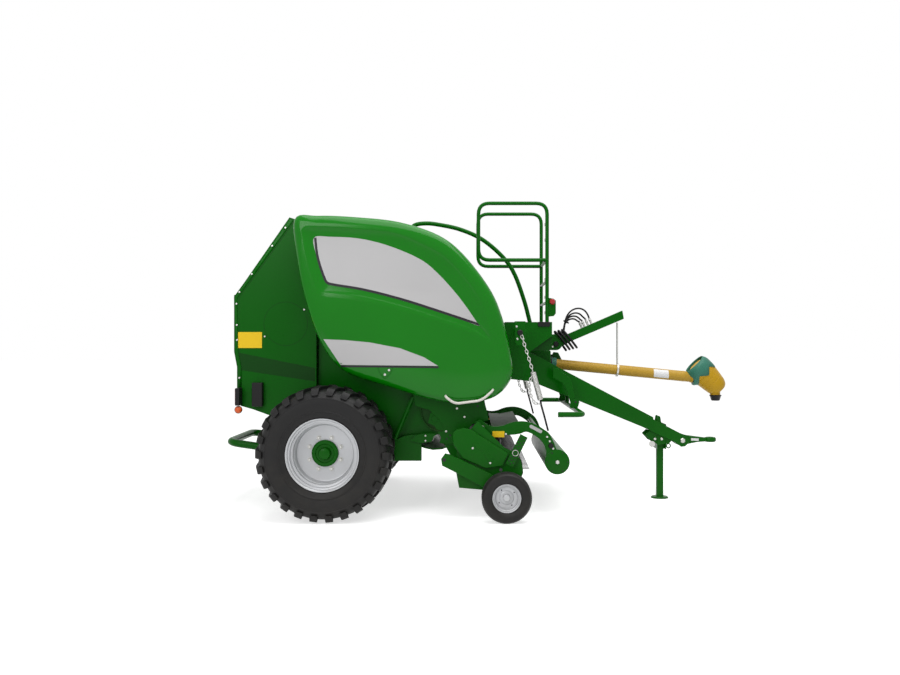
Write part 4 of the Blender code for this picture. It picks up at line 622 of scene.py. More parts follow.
for label, side in SIDES:
    body = "cover_" + label
    outer = smooth_line([row[0:2] for row in COVER_ROWS], 6)
    lip = smooth_line([row[2:4] for row in COVER_ROWS], 6)
    field = smooth_line([row[4:6] for row in COVER_ROWS], 6)
    rings = []
    for deep, y in COVER_EDGE:
        rings.append([(o + (l - o).normalized() * deep, y) for o, l in zip(outer, lip)])
    for share, y in COVER_FACE:
        last_deep = COVER_EDGE[-1][0]
        rings.append([((o + (l - o).normalized() * last_deep).lerp(l, share), y) for o, l in zip(outer, lip)])
    for share, y in RECESS_WALL:
        rings.append([(l.lerp(f, share), y) for l, f in zip(lip, field)])
    shell = bmesh.new()
    loops = [[shell.verts.new(at(p.x, side * y, p.y)) for p, y in ring] for ring in rings]
    for one, two in zip(loops, loops[1:]):
        for index in range(len(one)):
            after = (index + 1) % len(one)
            shell.faces.new((one[index], one[after], two[after], two[index]))
    floor_face = shell.faces.new(loops[-1])
    floor_face.material_index = 1
    bmesh.ops.recalc_face_normals(shell, faces=shell.faces)
    if floor_face.normal.y * side < 0:
        bmesh.ops.reverse_faces(shell, faces=shell.faces)
    tree = BVHTree.FromBMesh(shell)
    cover = made(
        "cover_shown_" + label, shell, [cover_paint, field_grey], body, stands_for=("cover_" + label,),
        smooth=38)
    walled(cover, 0.01)
    lower = laid(field_sheet(list(LOWER_FIELD)), tree, side)
    made("lower_field_" + label, lower, field_grey, body)
    edge = ribbon(smooth_line([(0.113, 1.276), (0.5, 1.2735), (0.93, 1.268)], 20, False), 0.016, 1.0, side)
    made("lower_stripe_" + label, laid(edge, tree, side, 0.0018), black_trim_and_hole_shade, body)
    under = [Vector(row[4:6]) for row in COVER_ROWS]
    stripe_line = smooth_line([under[0], *reversed(under[14:]), *reversed(under[9:14])], 8, False)
    stripe = ribbon(stripe_line, -0.02, 0.9832, side)
    made("field_stripe_" + label, stripe, black_trim_and_hole_shade, body)
    # The latch pocket is not pressed in: its crease is drawn as a thin ribbon in the darker frame green,
    # painted shade laid on the cover.
    pocket = smooth_line(
        [(0.435, 1.262), (0.535, 1.262), (0.545, 1.235), (0.5, 1.172), (0.468, 1.172), (0.428, 1.235)], 6)
    groove = laid(ribbon([*pocket, pocket[0]], 0.005, 1.0, side), tree, side, 0.001)
    made("latch_groove_" + label, groove, frame_paint, body)
    bolts = heads(((0.517, 1.235), (0.483, 1.198)), 0.998, side, 0.01, 0.008, 12)
    made("latch_bolts_" + label, bolts, zinc_plate, body)
    grip = [at(x, side * y, z) for x, y, z in HANDLE_LINE]
    tube("cover_handle_" + label, [rounded(grip, 0.05)], 0.011, handle_white, body)

# Hood: painted sheet rolled between the two covers, over the top and down the front of the bale
# chamber, on whose side walls it is bolted.
hood_line = smooth_line(HOOD_LINE, 8, False)
hood_skin = bmesh.new()
for index, point in enumerate(hood_line):
    pair = [hood_skin.verts.new(at(point.x, y, point.y)) for y in (-0.82, 0.82)]
    if index:
        hood_skin.faces.new((last_pair[0], last_pair[1], pair[1], pair[0]))
    last_pair = pair
hood = made("hood_shown", facing(hood_skin, (0, 0, 1)), cover_paint, stands_for=("hood",), smooth=40)
walled(hood, 0.01)

# Tailgate dressing: bolted flange along the rear edge, a pressed ring and band in the side sheet that are
# not shaped but drawn as painted shade (dark ribbons and a dark strip), a blank yellow sign, the round orange
# marker and the red lens of the lamp.
# Darker green that stands in for shade, not a paint of its own: painted shade on the tailgate's pressings,
# the sheet between the press arms, the drive discs behind the crop shields and the plates under the platform.
painted_shade_green = finish("painted_shade_green", (0.0012, 0.045, 0.0012), 0.45, gloss=0.12)
GATE_EDGE = ((-0.366, 2.535), (-0.852, 1.862), (-0.846, 1.384), (-0.818, 1.248), (-0.818, 1.079))
GATE_BOLTS = (
    (-0.4065, 2.4585), (-0.5208, 2.302), (-0.6966, 2.058), (-0.8044, 1.902), (-0.83, 1.8), (-0.8265, 1.617),
    (-0.8248, 1.487), (-0.585, 1.5176), (-0.2437, 1.7506), (-0.805, 1.16))
GATE_BAND = ((-0.838, 1.383), (-0.15, 1.245), (-0.15, 1.13), (-0.812, 1.23))
GATE_RING = (-0.405, 1.628, 0.187)


def plate(outline, y_from, y_to):
    """Flat plate cut to an outline of (x, z), standing between two distances from the middle."""
    solid = bmesh.new()
    face = solid.faces.new([solid.verts.new(at(x, y_from, z)) for x, z in outline])
    grown = bmesh.ops.extrude_face_region(solid, geom=[face])["geom"]
    lifted = [item for item in grown if isinstance(item, bmesh.types.BMVert)]
    bmesh.ops.translate(solid, verts=lifted, vec=(0, y_to - y_from, 0))
    bmesh.ops.recalc_face_normals(solid, faces=solid.faces)
    return solid


def arc(x, z, radius, first, step, count, high=None):
    """Points of a round or oval arc, with its angles in degrees."""
    turns = [math.radians(first + step * k) for k in range(count)]
    return [(x + radius * math.cos(turn), z + (high or radius) * math.sin(turn)) for turn in turns]


def both(outline, near, far):
    """Two plates of one outline, as far to the right of the middle as to the left."""
    return joined(plate(outline, -far, -near), plate(outline, near, far))


def box(x_from, x_to, z_from, z_to):
    """Outline of an upright rectangle."""
    return ((x_from, z_from), (x_to, z_from), (x_to, z_to), (x_from, z_to))


for label, side in SIDES:
    strip = ribbon(GATE_EDGE, -0.03, 0.7055, side)
    flange = made("gate_flange_" + label, strip, frame_paint, "tailgate")
    walled(flange, 0.0052)
    # The seam, ring and band are flat ribbons in the shade green: painted shade where the sheet is pressed.
    seam = ribbon([(x + 0.044, z - 0.012) for x, z in GATE_EDGE[:3]], 0.003, 0.7008, side)
    pressing_shade = joined(
        seam, ribbon(arc(*GATE_RING, 0, 5, 73), 0.0035, 0.7008, side),
        plate(GATE_BAND, side * 0.6995, side * 0.7012))
    made("gate_pressing_shade_" + label, pressing_shade, painted_shade_green, "tailgate")
    made("gate_bolts_" + label, heads(GATE_BOLTS, 0.7055, side, 0.009), zinc_plate, "tailgate")
    sign = plate(box(-0.818, -0.611, 1.418, 1.556), side * 0.7002, side * 0.7016)
    made("gate_sign_" + label, sign, label_yellow, "tailgate")
    marker = spun(
        ((0.0, 0.016), (0.014, 0.0145), (0.024, 0.01), (0.029, 0.003), (0.03, 0.0), (0.0, 0.0)),
        at(-0.8, side * 0.762, 0.888), (0, side, 0), 32)
    base = spun(
        ((0.033, 0.0), (0.033, -0.012), (0.008, -0.014), (0.008, -0.062), (0.0, -0.062), (0.0, 0.0)),
        at(-0.8, side * 0.762, 0.888), (0, side, 0), 24)
    made("marker_lens_" + label, marker, lens_orange, "tailgate", smooth=40)
    made("marker_base_" + label, base, black_plastic, "tailgate")
    glass = plate(box(-0.8225, -0.82, 0.935, 1.065), side * 0.71, side * 0.79)
    made("lamp_lens_" + label, glass, lens_red, "tailgate")

# Drive shaft: two telescoping guard tubes in ochre plastic, a ribbed bell that leans down in its parked
# place, teal lock collars with pointed fingers, and a black cap over the yoke.
SHAFT_AXIS = Vector((math.cos(math.radians(5.45)), 0, -math.sin(math.radians(5.45))))
SHAFT_START = Vector(at(1.951, 0, 1.2669))
BELL_AXIS = Vector((0.7071, 0, -0.7071))
BELL_CENTRE = Vector(at(3.3765, 0, 1.195))
bright_guard = finish("bright_guard", (0.5, 0.29, 0.008), 0.4, dust_amount=0.04, gloss=0.2)
tube_skin = spun(
    ((0.0, 0.0), (0.0475, 0.0), (0.0475, 0.66), (0.0485, 0.664), (0.049, 0.7), (0.049, 1.245), (0.0505, 1.25),
    (0.0505, 1.262), (0.049, 1.266), (0.049, 1.325), (0.0, 1.325)), SHAFT_START, SHAFT_AXIS, 64)
tube_tree = BVHTree.FromBMesh(tube_skin)
made("pto_tube_shown", tube_skin, guard_plastic, stands_for=("pto_tube",))
lip_ring = spun(
    ((0.049, 1.326), (0.0535, 1.328), (0.054, 1.345), (0.049, 1.347), (0.0, 1.347), (0.0, 1.326)),
    SHAFT_START, SHAFT_AXIS, 48)
made("pto_lip_ring", lip_ring, bright_guard)
rear_cone = spun(
    ((0.06, 0.004), (0.0585, 0.05), (0.05, 0.052), (0.048, 0.012), (0.048, 0.002)), SHAFT_START, SHAFT_AXIS,
    48)
made("pto_rear_collar", rear_cone, teal_plastic)
boot = spun(
    ((0.0, -0.01), (0.088, -0.008), (0.086, 0.004), (0.06, 0.003), (0.0, 0.003)), SHAFT_START, SHAFT_AXIS, 32)
made("pto_rear_boot", boot, black_plastic)
paper = laid(
    field_sheet([(2.918, 1.216), (3.058, 1.203), (3.058, 1.128), (2.918, 1.141)], 8, 16), tube_tree, -1)
made("pto_label", paper, label_white, smooth=60)
bell = spun(
    ((0.06, -0.085), (0.1, -0.07), (0.117, -0.04), (0.122, -0.005), (0.1215, 0.034), (0.119, 0.036),
    (0.119, 0.039), (0.1205, 0.041), (0.115, 0.084), (0.1125, 0.086), (0.1125, 0.089), (0.114, 0.091),
    (0.108, 0.134), (0.1055, 0.136), (0.1055, 0.139), (0.107, 0.141), (0.099, 0.19), (0.091, 0.213),
    (0.078, 0.236), (0.06, 0.25), (0.0, 0.254), (0.0, -0.085)), BELL_CENTRE, BELL_AXIS, 72)
neck = spun(
    ((0.0, 0.0), (0.056, 0.0), (0.052, 0.05), (0.048, 0.075), (0.047, 0.156), (0.0, 0.156)),
    at(3.505, 0, 1.12), (0, 0, -1), 40)
made("pto_bell_shown", joined(bell, neck), bright_guard, stands_for=("pto_bell",), smooth=28)
cap = spun(
    ((0.0, 0.051), (0.034, 0.051), (0.04, 0.046), (0.0505, 0.01), (0.056, 0.006), (0.056, 0.0),
    (0.05, -0.004), (0.0, -0.004)), at(3.508, 0, 0.968), (0, 0, -1), 48)
made("pto_yoke_cap", cap, black_plastic, smooth=40)
collar = spun(
    ((0.05, 1.352), (0.074, 1.352), (0.0765, 1.362), (0.0765, 1.372), (0.073, 1.378), (0.07, 1.43),
    (0.08, 1.455), (0.0, 1.46), (0.0, 1.352)), SHAFT_START, SHAFT_AXIS, 48)
crown = bmesh.new()
bmesh.ops.create_circle(crown, cap_ends=False, segments=48, radius=0.103)
rim_edges = crown.edges[:]
for radius, along in ((0.1205, 0.03), (0.1255, 0.062), (0.1258, 0.08), (0.1262, 0.1)):
    grown = bmesh.ops.extrude_edge_only(crown, edges=rim_edges)["geom"]
    fresh = {item for item in grown if isinstance(item, bmesh.types.BMVert)}
    rim_edges = [edge for edge in crown.edges if edge.verts[0] in fresh and edge.verts[1] in fresh]
    for vert in fresh:
        finger = abs(((math.atan2(vert.co.y, vert.co.x) / math.tau * 6) % 1) - 0.5) * 2
        spread = vert.co.xy.normalized() * radius
        vert.co = (spread.x, spread.y, along + (0.052 * (1 - finger) if along > 0.09 else 0.0))
bmesh.ops.recalc_face_normals(crown, faces=crown.faces)
crown.faces.ensure_lookup_table()
if crown.faces[0].normal.dot(crown.faces[0].calc_center_median()) < 0:
    bmesh.ops.reverse_faces(crown, faces=crown.faces)
stood(crown, BELL_CENTRE - BELL_AXIS * 0.1, BELL_AXIS)
made("pto_collar", collar, teal_plastic)
crown_shown = made("pto_collar_crown", crown, teal_plastic)
walled(crown_shown, 0.003)

# Hose arm: box arm of folded plate that carries the hydraulic hoses, on a cheek bolted to the frame.
ARM_OUTLINE = (
    (2.1095, 1.5447), (2.6254, 1.7667), (2.639, 1.6883), (2.1397, 1.4766), (2.04, 1.42), (1.985, 1.402),
    (1.9115, 1.402), (1.9115, 1.54), (2.01, 1.545), (2.05, 1.525))
made("hose_arm_shown", plate(ARM_OUTLINE, -0.03, 0.03), frame_paint, stands_for=("hose_arm",), soften=0.004)
cheek = [
    (1.9115, 1.395), (1.9115, 1.537), (1.965, 1.537), *arc(1.998, 1.451, 0.058, 70, -12, 14), (1.965, 1.393)]
made("arm_cheeks", both(cheek, 0.032, 0.044), frame_paint, soften=0.002)
PIN_CAP = ((0.0, 0.01), (0.02, 0.009), (0.025, 0.004), (0.025, 0.0), (0.0, 0.0))
pins = [spun(PIN_CAP, at(1.998, side * 0.044, 1.451), (0, side, 0), 24) for side in (-1, 1)]
made("arm_pin_caps", joined(*pins), black_plastic, smooth=40)
made("arm_bolts", joined(*(heads(((1.965, 1.425),), 0.044, side) for side in (-1, 1))), zinc_plate)

# Hydraulic hoses: four rubber pressure hoses that stand out of the arm, bow over and park their plated
# couplings in its top edge, with the spare length wound round the arm.
ARM_TOP = (Vector((2.1095, 1.5447)), Vector((2.6254, 1.7667)))
ARM_RISE = (ARM_TOP[1] - ARM_TOP[0]).normalized()
ARM_NORMAL = Vector((-ARM_RISE.y, ARM_RISE.x))
HOSE_R = 0.008
HOSES = (
    (-0.021, 2.335, (
        (2.075, 1.578), (2.08, 1.617), (2.085, 1.655), (2.094, 1.692), (2.11, 1.727), (2.135, 1.757),
        (2.168, 1.778), (2.206, 1.787), (2.244, 1.781), (2.276, 1.76), (2.298, 1.729))),
    (-0.007, 2.303, (
        (2.075, 1.578), (2.081, 1.616), (2.088, 1.652), (2.101, 1.686), (2.123, 1.716), (2.153, 1.737),
        (2.189, 1.744), (2.224, 1.735), (2.251, 1.711))),
    (0.007, 2.272, (
        (2.075, 1.578), (2.079, 1.616), (2.087, 1.652), (2.105, 1.684), (2.134, 1.707), (2.17, 1.715),
        (2.206, 1.706), (2.233, 1.681))),
    (0.021, 2.248, (
        (2.075, 1.576), (2.079, 1.611), (2.09, 1.644), (2.112, 1.672), (2.144, 1.688), (2.18, 1.687),
        (2.21, 1.667))))
for number, (y, foot_x, middle) in enumerate(HOSES, 1):
    foot = ARM_TOP[0] + ARM_RISE * ((foot_x - ARM_TOP[0].x) / ARM_RISE.x) + ARM_NORMAL * 0.001
    tail = foot + ARM_NORMAL * 0.045
    line = smooth_line([(2.075, 1.537), *middle, foot + ARM_NORMAL * 0.062, tail], 2, False)
    route = [at(p.x, y, p.y) for p in line]
    hose = tube("hose_%d" % number, [route], HOSE_R, black_plastic)
    tip = spun(
        ((0.0, 0.014), (0.0095, 0.014), (0.0105, 0.0), (0.013, -0.002), (0.013, -0.014), (0.0105, -0.016),
        (0.0105, -0.044), (0.0, -0.044)), at(tail.x, y, tail.y), (ARM_NORMAL.x, 0, ARM_NORMAL.y), 20)
    coupling = made("hose_coupling_%d" % number, tip, zinc_plate)
tie = spun(
    ((0.046, 0.007), (0.049, 0.004), (0.049, -0.004), (0.046, -0.007), (0.04, -0.006), (0.04, 0.006)),
    at(2.098, 0, 1.66), (0.25, 0, 0.97), 24)
bmesh.ops.scale(
    tie, vec=(0.55, 0.75, 1), verts=tie.verts, space=Matrix.Translation((-(AXLE_X + 2.098), 0, -1.66)))
made("hose_tie", tie, black_plastic, smooth=40)
winding = []
WINDING_TURNS, WINDING_STEPS, WINDING_PITCH = 3, 24, 0.034
for k in range(WINDING_TURNS * WINDING_STEPS + 1):
    turn, off = math.tau * k / WINDING_STEPS, WINDING_PITCH * k / WINDING_STEPS
    winding.append(at(
        2.035 + off + 0.06072 * math.cos(turn), 0.062 * math.sin(turn),
        1.478 + off * 0.25 - 0.08496 * math.cos(turn)))
tube("hose_winding", [winding], 0.011, black_plastic)

# Hoop tube: one bent steel tube from the hood down to the platform, where its end is welded on.
HOOP_LINE = (
    (0.61, 2.44), (0.625, 2.52), (0.669, 2.574), (0.765, 2.59), (0.883, 2.58), (1.0965, 2.533),
    (1.309, 2.436), (1.5047, 2.267), (1.6115, 2.107), (1.699, 1.867), (1.744, 1.7), (1.756, 1.648))
hoop = [at(p.x, 0, p.y) for p in smooth_line(HOOP_LINE, 8, False)]
tube("hoop_tube_shown", [hoop], 0.02, frame_paint, stands_for=("hoop_tube",))

# Crop press: two swan-necked arms cut from plate, each with a curved slot, a cross bar and a plain
# sheet between them, coloured in the shade green as painted shade, pinned to the pick-up and carrying
# the crop roller, whose end discs have notches, drawn as black dots of painted shade, and a centre bolt.
PRESS_AT = (1.258, 0.773)
PRESS_SIZE = (0.674, 0.321)
PRESS_TOP = (
    (-0.042, 0.019), (0.006, 0.109), (0.064, 0.078), (0.131, -0.019), (0.217, -0.062), (0.312, -0.04),
    (0.417, 0.04), (0.513, 0.075), (0.608, 0.069), (0.714, 0.006), (0.819, -0.121), (0.915, -0.302),
    (0.982, -0.623))
PRESS_LOW = (
    (0.862, -0.875), (0.853, -0.645), (0.8, -0.442), (0.705, -0.283), (0.608, -0.202), (0.533, -0.252),
    (0.417, -0.283), (0.217, -0.271), (0.12, -0.221), (0.045, -0.153), (-0.033, -0.081))
PRESS_SHEET = ((1.375, 0.744), (1.41, 0.741), (1.5, 0.738), (1.622, 0.762))
PRESS_BOLTS = ((1.3, 0.752), (1.262, 0.735), (1.495, 0.69), (1.845, 0.665), (1.868, 0.628), (1.897, 0.566))
ROLLER_AT = (1.932, 0.452)


def press_point(share):
    """Place on the crop press given as shares of its reach and drop."""
    return (PRESS_AT[0] + PRESS_SIZE[0] * share[0], PRESS_AT[1] + PRESS_SIZE[1] * share[1])


arm_top = smooth_line([press_point(share) for share in PRESS_TOP], 3, False)
arm_low = smooth_line([press_point(share) for share in PRESS_LOW], 3, False)
arm_line = [*arm_top, *arc(*ROLLER_AT, 0.05, 40, -20, 10), *arm_low]
made(
    "press_arms", both(arm_line, 0.848, 0.86), frame_paint, "crop_press", stands_for=("crop_press",),
    soften=0.002)
# The sheet between the arms is given the darker shade green: painted shade under the arms.
sheet_line = list(PRESS_SHEET) + [(x, z - 0.006) for x, z in reversed(PRESS_SHEET)]
made("press_sheet", plate(sheet_line, -0.72, 0.72), painted_shade_green, "crop_press")
tube("press_bar", [[at(1.8, -0.849, 0.68), at(1.8, 0.849, 0.68)]], 0.02, frame_paint, "crop_press")
for label, side in SIDES:
    slot_line = arc(1.71, 0.754, 0.014, 62, 22.5, 9) + arc(1.79, 0.711, 0.014, 242, 22.5, 9)
    slot_mark = plate(slot_line, side * 0.8598, side * 0.8608)
    made("press_slot_" + label, slot_mark, field_grey, "crop_press")
    boss = spun(
        ((0.0, 0.014), (0.022, 0.013), (0.029, 0.008), (0.03, 0.0), (0.0, 0.0)),
        at(1.258, side * 0.86, 0.773), (0, side, 0), 24)
    made("press_boss_" + label, boss, frame_paint, "crop_press")
    made("press_bolts_" + label, heads(PRESS_BOLTS, 0.86, side, 0.01), zinc_plate, "crop_press")
    knob = spun(
        ((0.0, 0.012), (0.018, 0.011), (0.023, 0.005), (0.023, 0.0), (0.0, 0.0)),
        at(1.878, side * 0.86, 0.59), (0, side, 0), 20)
    made("press_knob_" + label, knob, black_plastic, "crop_press", smooth=40)
    small_sign = plate(box(1.382, 1.483, 0.662, 0.714), side * 0.8602, side * 0.8612)
    made("press_sign_" + label, small_sign, label_yellow, "crop_press")
    disc = spun(
        ((0.0, 0.006), (0.098, 0.006), (0.105, 0.003), (0.105, 0.0), (0.0, 0.0)),
        at(ROLLER_AT[0], side * 0.861, ROLLER_AT[1]), (0, side, 0), 48)
    end_bolt = heads((ROLLER_AT,), 0.867, side, 0.018, 0.012)
    # The notches are flat black dots: painted shade where the disc is cut.
    notches = heads(arc(*ROLLER_AT, 0.088, 0, 60, 6), 0.867, side, 0.006, 0.001, 12)
    made("roller_disc_" + label, disc, frame_paint, "crop_roller")
    made("roller_bolt_" + label, end_bolt, zinc_plate, "crop_roller")
    made("roller_notches_" + label, notches, black_trim_and_hole_shade, "crop_roller")

# Crop shields: painted plates bolted to the side frames in front of the rotor drive, with a concave
# rear edge round the drive disc, a welded strut and a small plate behind. The drive disc is in the darker
# shade green and the shields' holes are flat black dots, both painted shade.
SHIELD_AT = (0.695, 0.585, 0.656, 0.575)
SHIELD = (
    (0.0, 0.8), (0.035, 0.581), (0.22, 0.518), (0.357, 0.381), (0.413, 0.254), (0.384, 0.129), (0.351, 0.026),
    (0.495, 0.0), (0.617, 0.043), (0.716, 0.2), (0.793, 0.313), (1.0, 0.364), (0.971, 0.546), (0.945, 0.649),
    (0.831, 1.0), (0.236, 1.0))
for label, side in SIDES:
    outline = [(SHIELD_AT[0] + SHIELD_AT[2] * a, SHIELD_AT[1] + SHIELD_AT[3] * b) for a, b in SHIELD]
    made("crop_shield_" + label, plate(outline, side * 0.72, side * 0.732), frame_paint, soften=0.002)
    bolts = heads(((1.078, 0.897), (1.143, 0.824), (0.985, 0.7)), 0.732, side, 0.011)
    made("shield_bolts_" + label, bolts, zinc_plate)
    # Flat black dots for the holes: painted shade.
    holes = heads(((1.257, 0.917), (1.02, 0.665), (0.99, 0.635)), 0.7318, side, 0.009, 0.001, 16)
    made("shield_holes_" + label, holes, black_trim_and_hole_shade)
    # The drive disc behind the shield is coloured in the darker shade green, as painted shade.
    wheel = spun(
        ((0.17, 0.0), (0.176, 0.006), (0.182, 0.006), (0.185, 0.0), (0.185, -0.01), (0.16, -0.014),
        (0.06, -0.01), (0.045, 0.004), (0.0, 0.004), (0.0, -0.016), (0.17, -0.018)),
        at(0.945, side * 0.716, 0.88), (0, side, 0), 64)
    made("drive_disc_" + label, wheel, painted_shade_green)
    strut_line = [at(0.541, side * 0.715, 0.63), at(0.697, side * 0.715, 0.994)]
    tube("shield_strut_" + label, [strut_line], 0.018, frame_paint)
    moon = ((0.671, 0.618), (0.716, 0.659), (0.78, 0.679), (0.896, 0.679), (0.856, 0.607), (0.757, 0.595))
    made("moon_plate_" + label, plate(moon, side * 0.712, side * 0.719), frame_paint, soften=0.002)
    made("moon_bolts_" + label, heads(((0.806, 0.661), (0.806, 0.618)), 0.719, side, 0.009), zinc_plate)

# Pick-up sides: pressed cam cover over the reel's cam track, on the right only, the folded gauge wheel
# arms and the perforated setting straps with their ring pins. The holes in the arms and straps are flat
# black dots of painted shade.
CAM_COVER = (
    (1.041, 0.677), (1.052, 0.712), (1.079, 0.738), (1.137, 0.753), (1.207, 0.741), (1.258, 0.7),
    (1.513, 0.5365), (1.462, 0.4347), (1.3215, 0.4155), (1.1303, 0.498), (1.0538, 0.613))
GAUGE_ARM = (
    (0.952, 0.5), (0.985, 0.545), (1.02, 0.538), (1.36, 0.378), (1.525, 0.24), (1.52, 0.19), (1.48, 0.172),
    (1.36, 0.235), (1.05, 0.4), (0.96, 0.445))
for label, side in SIDES:
    if side < 0:
        made("cam_cover", plate(CAM_COVER, side * 0.9625, side * 0.9965), frame_paint, "pickup", soften=0.01)
        inner = (
            (1.205, 0.628), (1.255, 0.628), (1.33, 0.575), (1.385, 0.475), (1.35, 0.462), (1.3, 0.555),
            (1.235, 0.6))
        made("cam_pressing", plate(inner, side * 0.9966, side * 0.999), frame_paint, "pickup", soften=0.002)
        made("cam_bolts", heads(((1.214, 0.585), (1.36, 0.462)), 0.9966, side, 0.01), zinc_plate, "pickup")
    gauge_arm = plate(GAUGE_ARM, side * 1.0065, side * 1.0335)
    made("gauge_arm_shown_" + label, gauge_arm, frame_paint, "pickup", soften=0.003)
    # The arm's hole is a flat black dot: painted shade.
    arm_hole = heads(((0.978, 0.492),), 1.0333, side, 0.017, 0.001, 20)
    made("gauge_arm_holes_" + label, arm_hole, black_trim_and_hole_shade, "pickup")
    strap = ((1.612, 0.704), (1.672, 0.674), (1.55, 0.428), (1.488, 0.458))
    made("strap_" + label, plate(strap, side * 0.9975, side * 1.0035), frame_paint, "pickup", soften=0.001)
    # The straps' perforations are flat black dots: painted shade.
    holes = []
    for row in range(8):
        for column in (-1, 0, 1):
            along = (row + (0.5 if column == 0 else 0.0) + 0.6) / 8.6
            holes.append((1.641 - 0.122 * along + column * 0.018, 0.689 - 0.246 * along - column * 0.009))
    made("strap_holes_" + label, heads(holes, 1.0034, side, 0.0072, 0.0006, 12), black_trim_and_hole_shade, "pickup")
    ring_line = [at(x, side * 1.008, z) for x, z in arc(1.569, 0.546, 0.024, 0, 15, 25)]
    tube("strap_ring_" + label, [ring_line], 0.0028, zinc_plate, "pickup")

# Lifting chains: welded plated links from the hanger tube, a closed coil spring and a black safety
# strap down to the crop press, with the slack chain hanging beside the spring.
CHAIN_Y = 0.905
CHAIN_RUN = (1.625, 1.528), (1.722, 1.218)
SLACK_RUN = (1.722, 1.218), (1.69, 1.12), (1.7, 1.03), (1.735, 0.955), (1.785, 0.945)
SPRING_TURNS, SPRING_STEPS = 38, 12


def hung(start, end, count, long, wide):
    """Closed link lines between two places, each turned by a quarter from the last."""
    a, b = Vector(start), Vector(end)
    along = (b - a).normalized()
    links = []
    for index in range(count):
        middle = a.lerp(b, (index + 0.5) / count)
        across = Vector((0, 1, 0)) if index % 2 else along.cross(Vector((0, 1, 0)))
        links.append(
            [middle + along * (long * (0.62 if abs(math.cos(t)) > 0.5 else 0.5) * math.cos(t))
            + across * (wide * math.sin(t)) for t in (math.tau * k / 16 for k in range(17))])
    return links


for label, side in SIDES:
    y = side * CHAIN_Y
    links = hung(*(at(x, y, z) for x, z in CHAIN_RUN), 10, 0.03, 0.011)
    for start, end, count in zip(SLACK_RUN, SLACK_RUN[1:], (4, 4, 3, 2)):
        links += hung(at(start[0], y, start[1]), at(end[0], y, end[1]), count, 0.024, 0.009)
    tube("chain_links_" + label, links, 0.0042, zinc_plate, stands_for=("lift_chain_" + label,))
    top, foot = Vector(at(1.722, y, 1.215)), Vector(at(1.785, y, 0.985))
    coil = bmesh.new()
    bmesh.ops.create_circle(coil, cap_ends=False, segments=6, radius=0.0029)
    bmesh.ops.transform(
        coil, verts=coil.verts, matrix=Matrix.Translation((0.0215, 0, 0))
        @ Matrix.Rotation(math.pi / 2, 4, "X"))
    bmesh.ops.spin(
        coil, geom=coil.verts[:] + coil.edges[:], cent=(0, 0, 0), axis=(0, 0, 1),
        dvec=(0, 0, (foot - top).length / (SPRING_TURNS * SPRING_STEPS)), angle=math.tau * SPRING_TURNS,
        steps=SPRING_TURNS * SPRING_STEPS, use_merge=False, use_duplicate=False)
    bmesh.ops.recalc_face_normals(coil, faces=coil.faces)
    made("chain_spring_" + label, stood(coil, top, foot - top), zinc_plate, smooth=60)
    strap_line = [foot, at(1.79, y, 0.945), at(1.822, y, 0.83), at(1.85, y, 0.722)]
    tube("chain_strap_" + label, [strap_line], 0.0085, black_plastic)

# Front frame dressing: hanger plates for the chains' tube, bolted to the frame, with moulded black
# caps on the tube's ends, and rubber pads stuck to the platform's edge.
HANGER_PLATE = ((1.567, 1.645), (1.66, 1.645), (1.66, 1.475), (1.64, 1.444), (1.595, 1.44), (1.575, 1.462))
for label, side in SIDES:
    made("hanger_plate_" + label, plate(HANGER_PLATE, side * 0.886, side * 0.898), frame_paint, soften=0.003)
    end_cap = spun(
        ((0.0, 0.008), (0.019, 0.007), (0.024, 0.002), (0.024, -0.012), (0.0, -0.012)),
        at(1.612, side * 0.93, 1.549), (0, side, 0), 28)
    made("hanger_cap_" + label, end_cap, black_plastic, smooth=40)
    bolts = heads(((1.585, 1.6), (1.592, 1.496), (1.64, 1.496)), 0.898, side, 0.01)
    made("hanger_bolts_" + label, bolts, zinc_plate)
    pad = plate(
        ((1.785, 1.646), (1.892, 1.646), (1.892, 1.612), (1.885, 1.604), (1.792, 1.604), (1.785, 1.612)),
        side * 0.616, side * 0.628)
    made("platform_pad_" + label, pad, black_plastic, soften=0.003)

# Drawbar head: side plates that carry the beams' lines on to the tow eye's pivot, the jack's square
# sleeve between them, an ear plate with a spool and the pins that lock the jack.
HEAD_PLATE = (
    (2.85, 0.652), (2.895, 0.752), (2.939, 0.73), (3.16, 0.615), (3.205, 0.588), (3.228, 0.56),
    (3.226, 0.525), (3.198, 0.497), (3.16, 0.492), (3.12, 0.52), (3.085, 0.545), (2.9, 0.628))
EAR_PLATE = ((2.828, 0.603), (2.868, 0.64), (3.085, 0.56), (3.05, 0.52), (2.95, 0.509), (2.88, 0.545))
head = joined(both(HEAD_PLATE, 0.098, 0.11), both(EAR_PLATE, 0.082, 0.092))
made("drawbar_head_shown", head, frame_paint, stands_for=("drawbar_head",), soften=0.003)
SLEEVE_Z = (0.467, 0.703)
sleeve = joined(
    *(plate(box(x, x + 0.008, *SLEEVE_Z), -0.098, 0.098) for x in (2.937, 3.015)),
    both(box(2.945, 3.015, *SLEEVE_Z), 0.036, 0.044))
made("jack_sleeve", sleeve, frame_paint, soften=0.005)
crossplates = joined(
    plate(((3.09, 0.6), (3.15, 0.57), (3.15, 0.52), (3.1, 0.545)), -0.098, 0.098),
    plate(box(2.895, 2.905, 0.64, 0.74), -0.098, 0.098))
made("head_crossplates", crossplates, frame_paint, soften=0.002)
spool = spun(
    ((0.0, 0.012), (0.028, 0.012), (0.028, 0.004), (0.02, 0.002), (0.02, -0.03), (0.0, -0.03)),
    at(2.885, -0.112, 0.52), (0, -1, 0), 28)
made("head_spool", spool, zinc_plate)
pivot_nuts = [heads(((3.172, 0.552),), 0.11, side, 0.024, 0.016) for side in (-1, 1)]
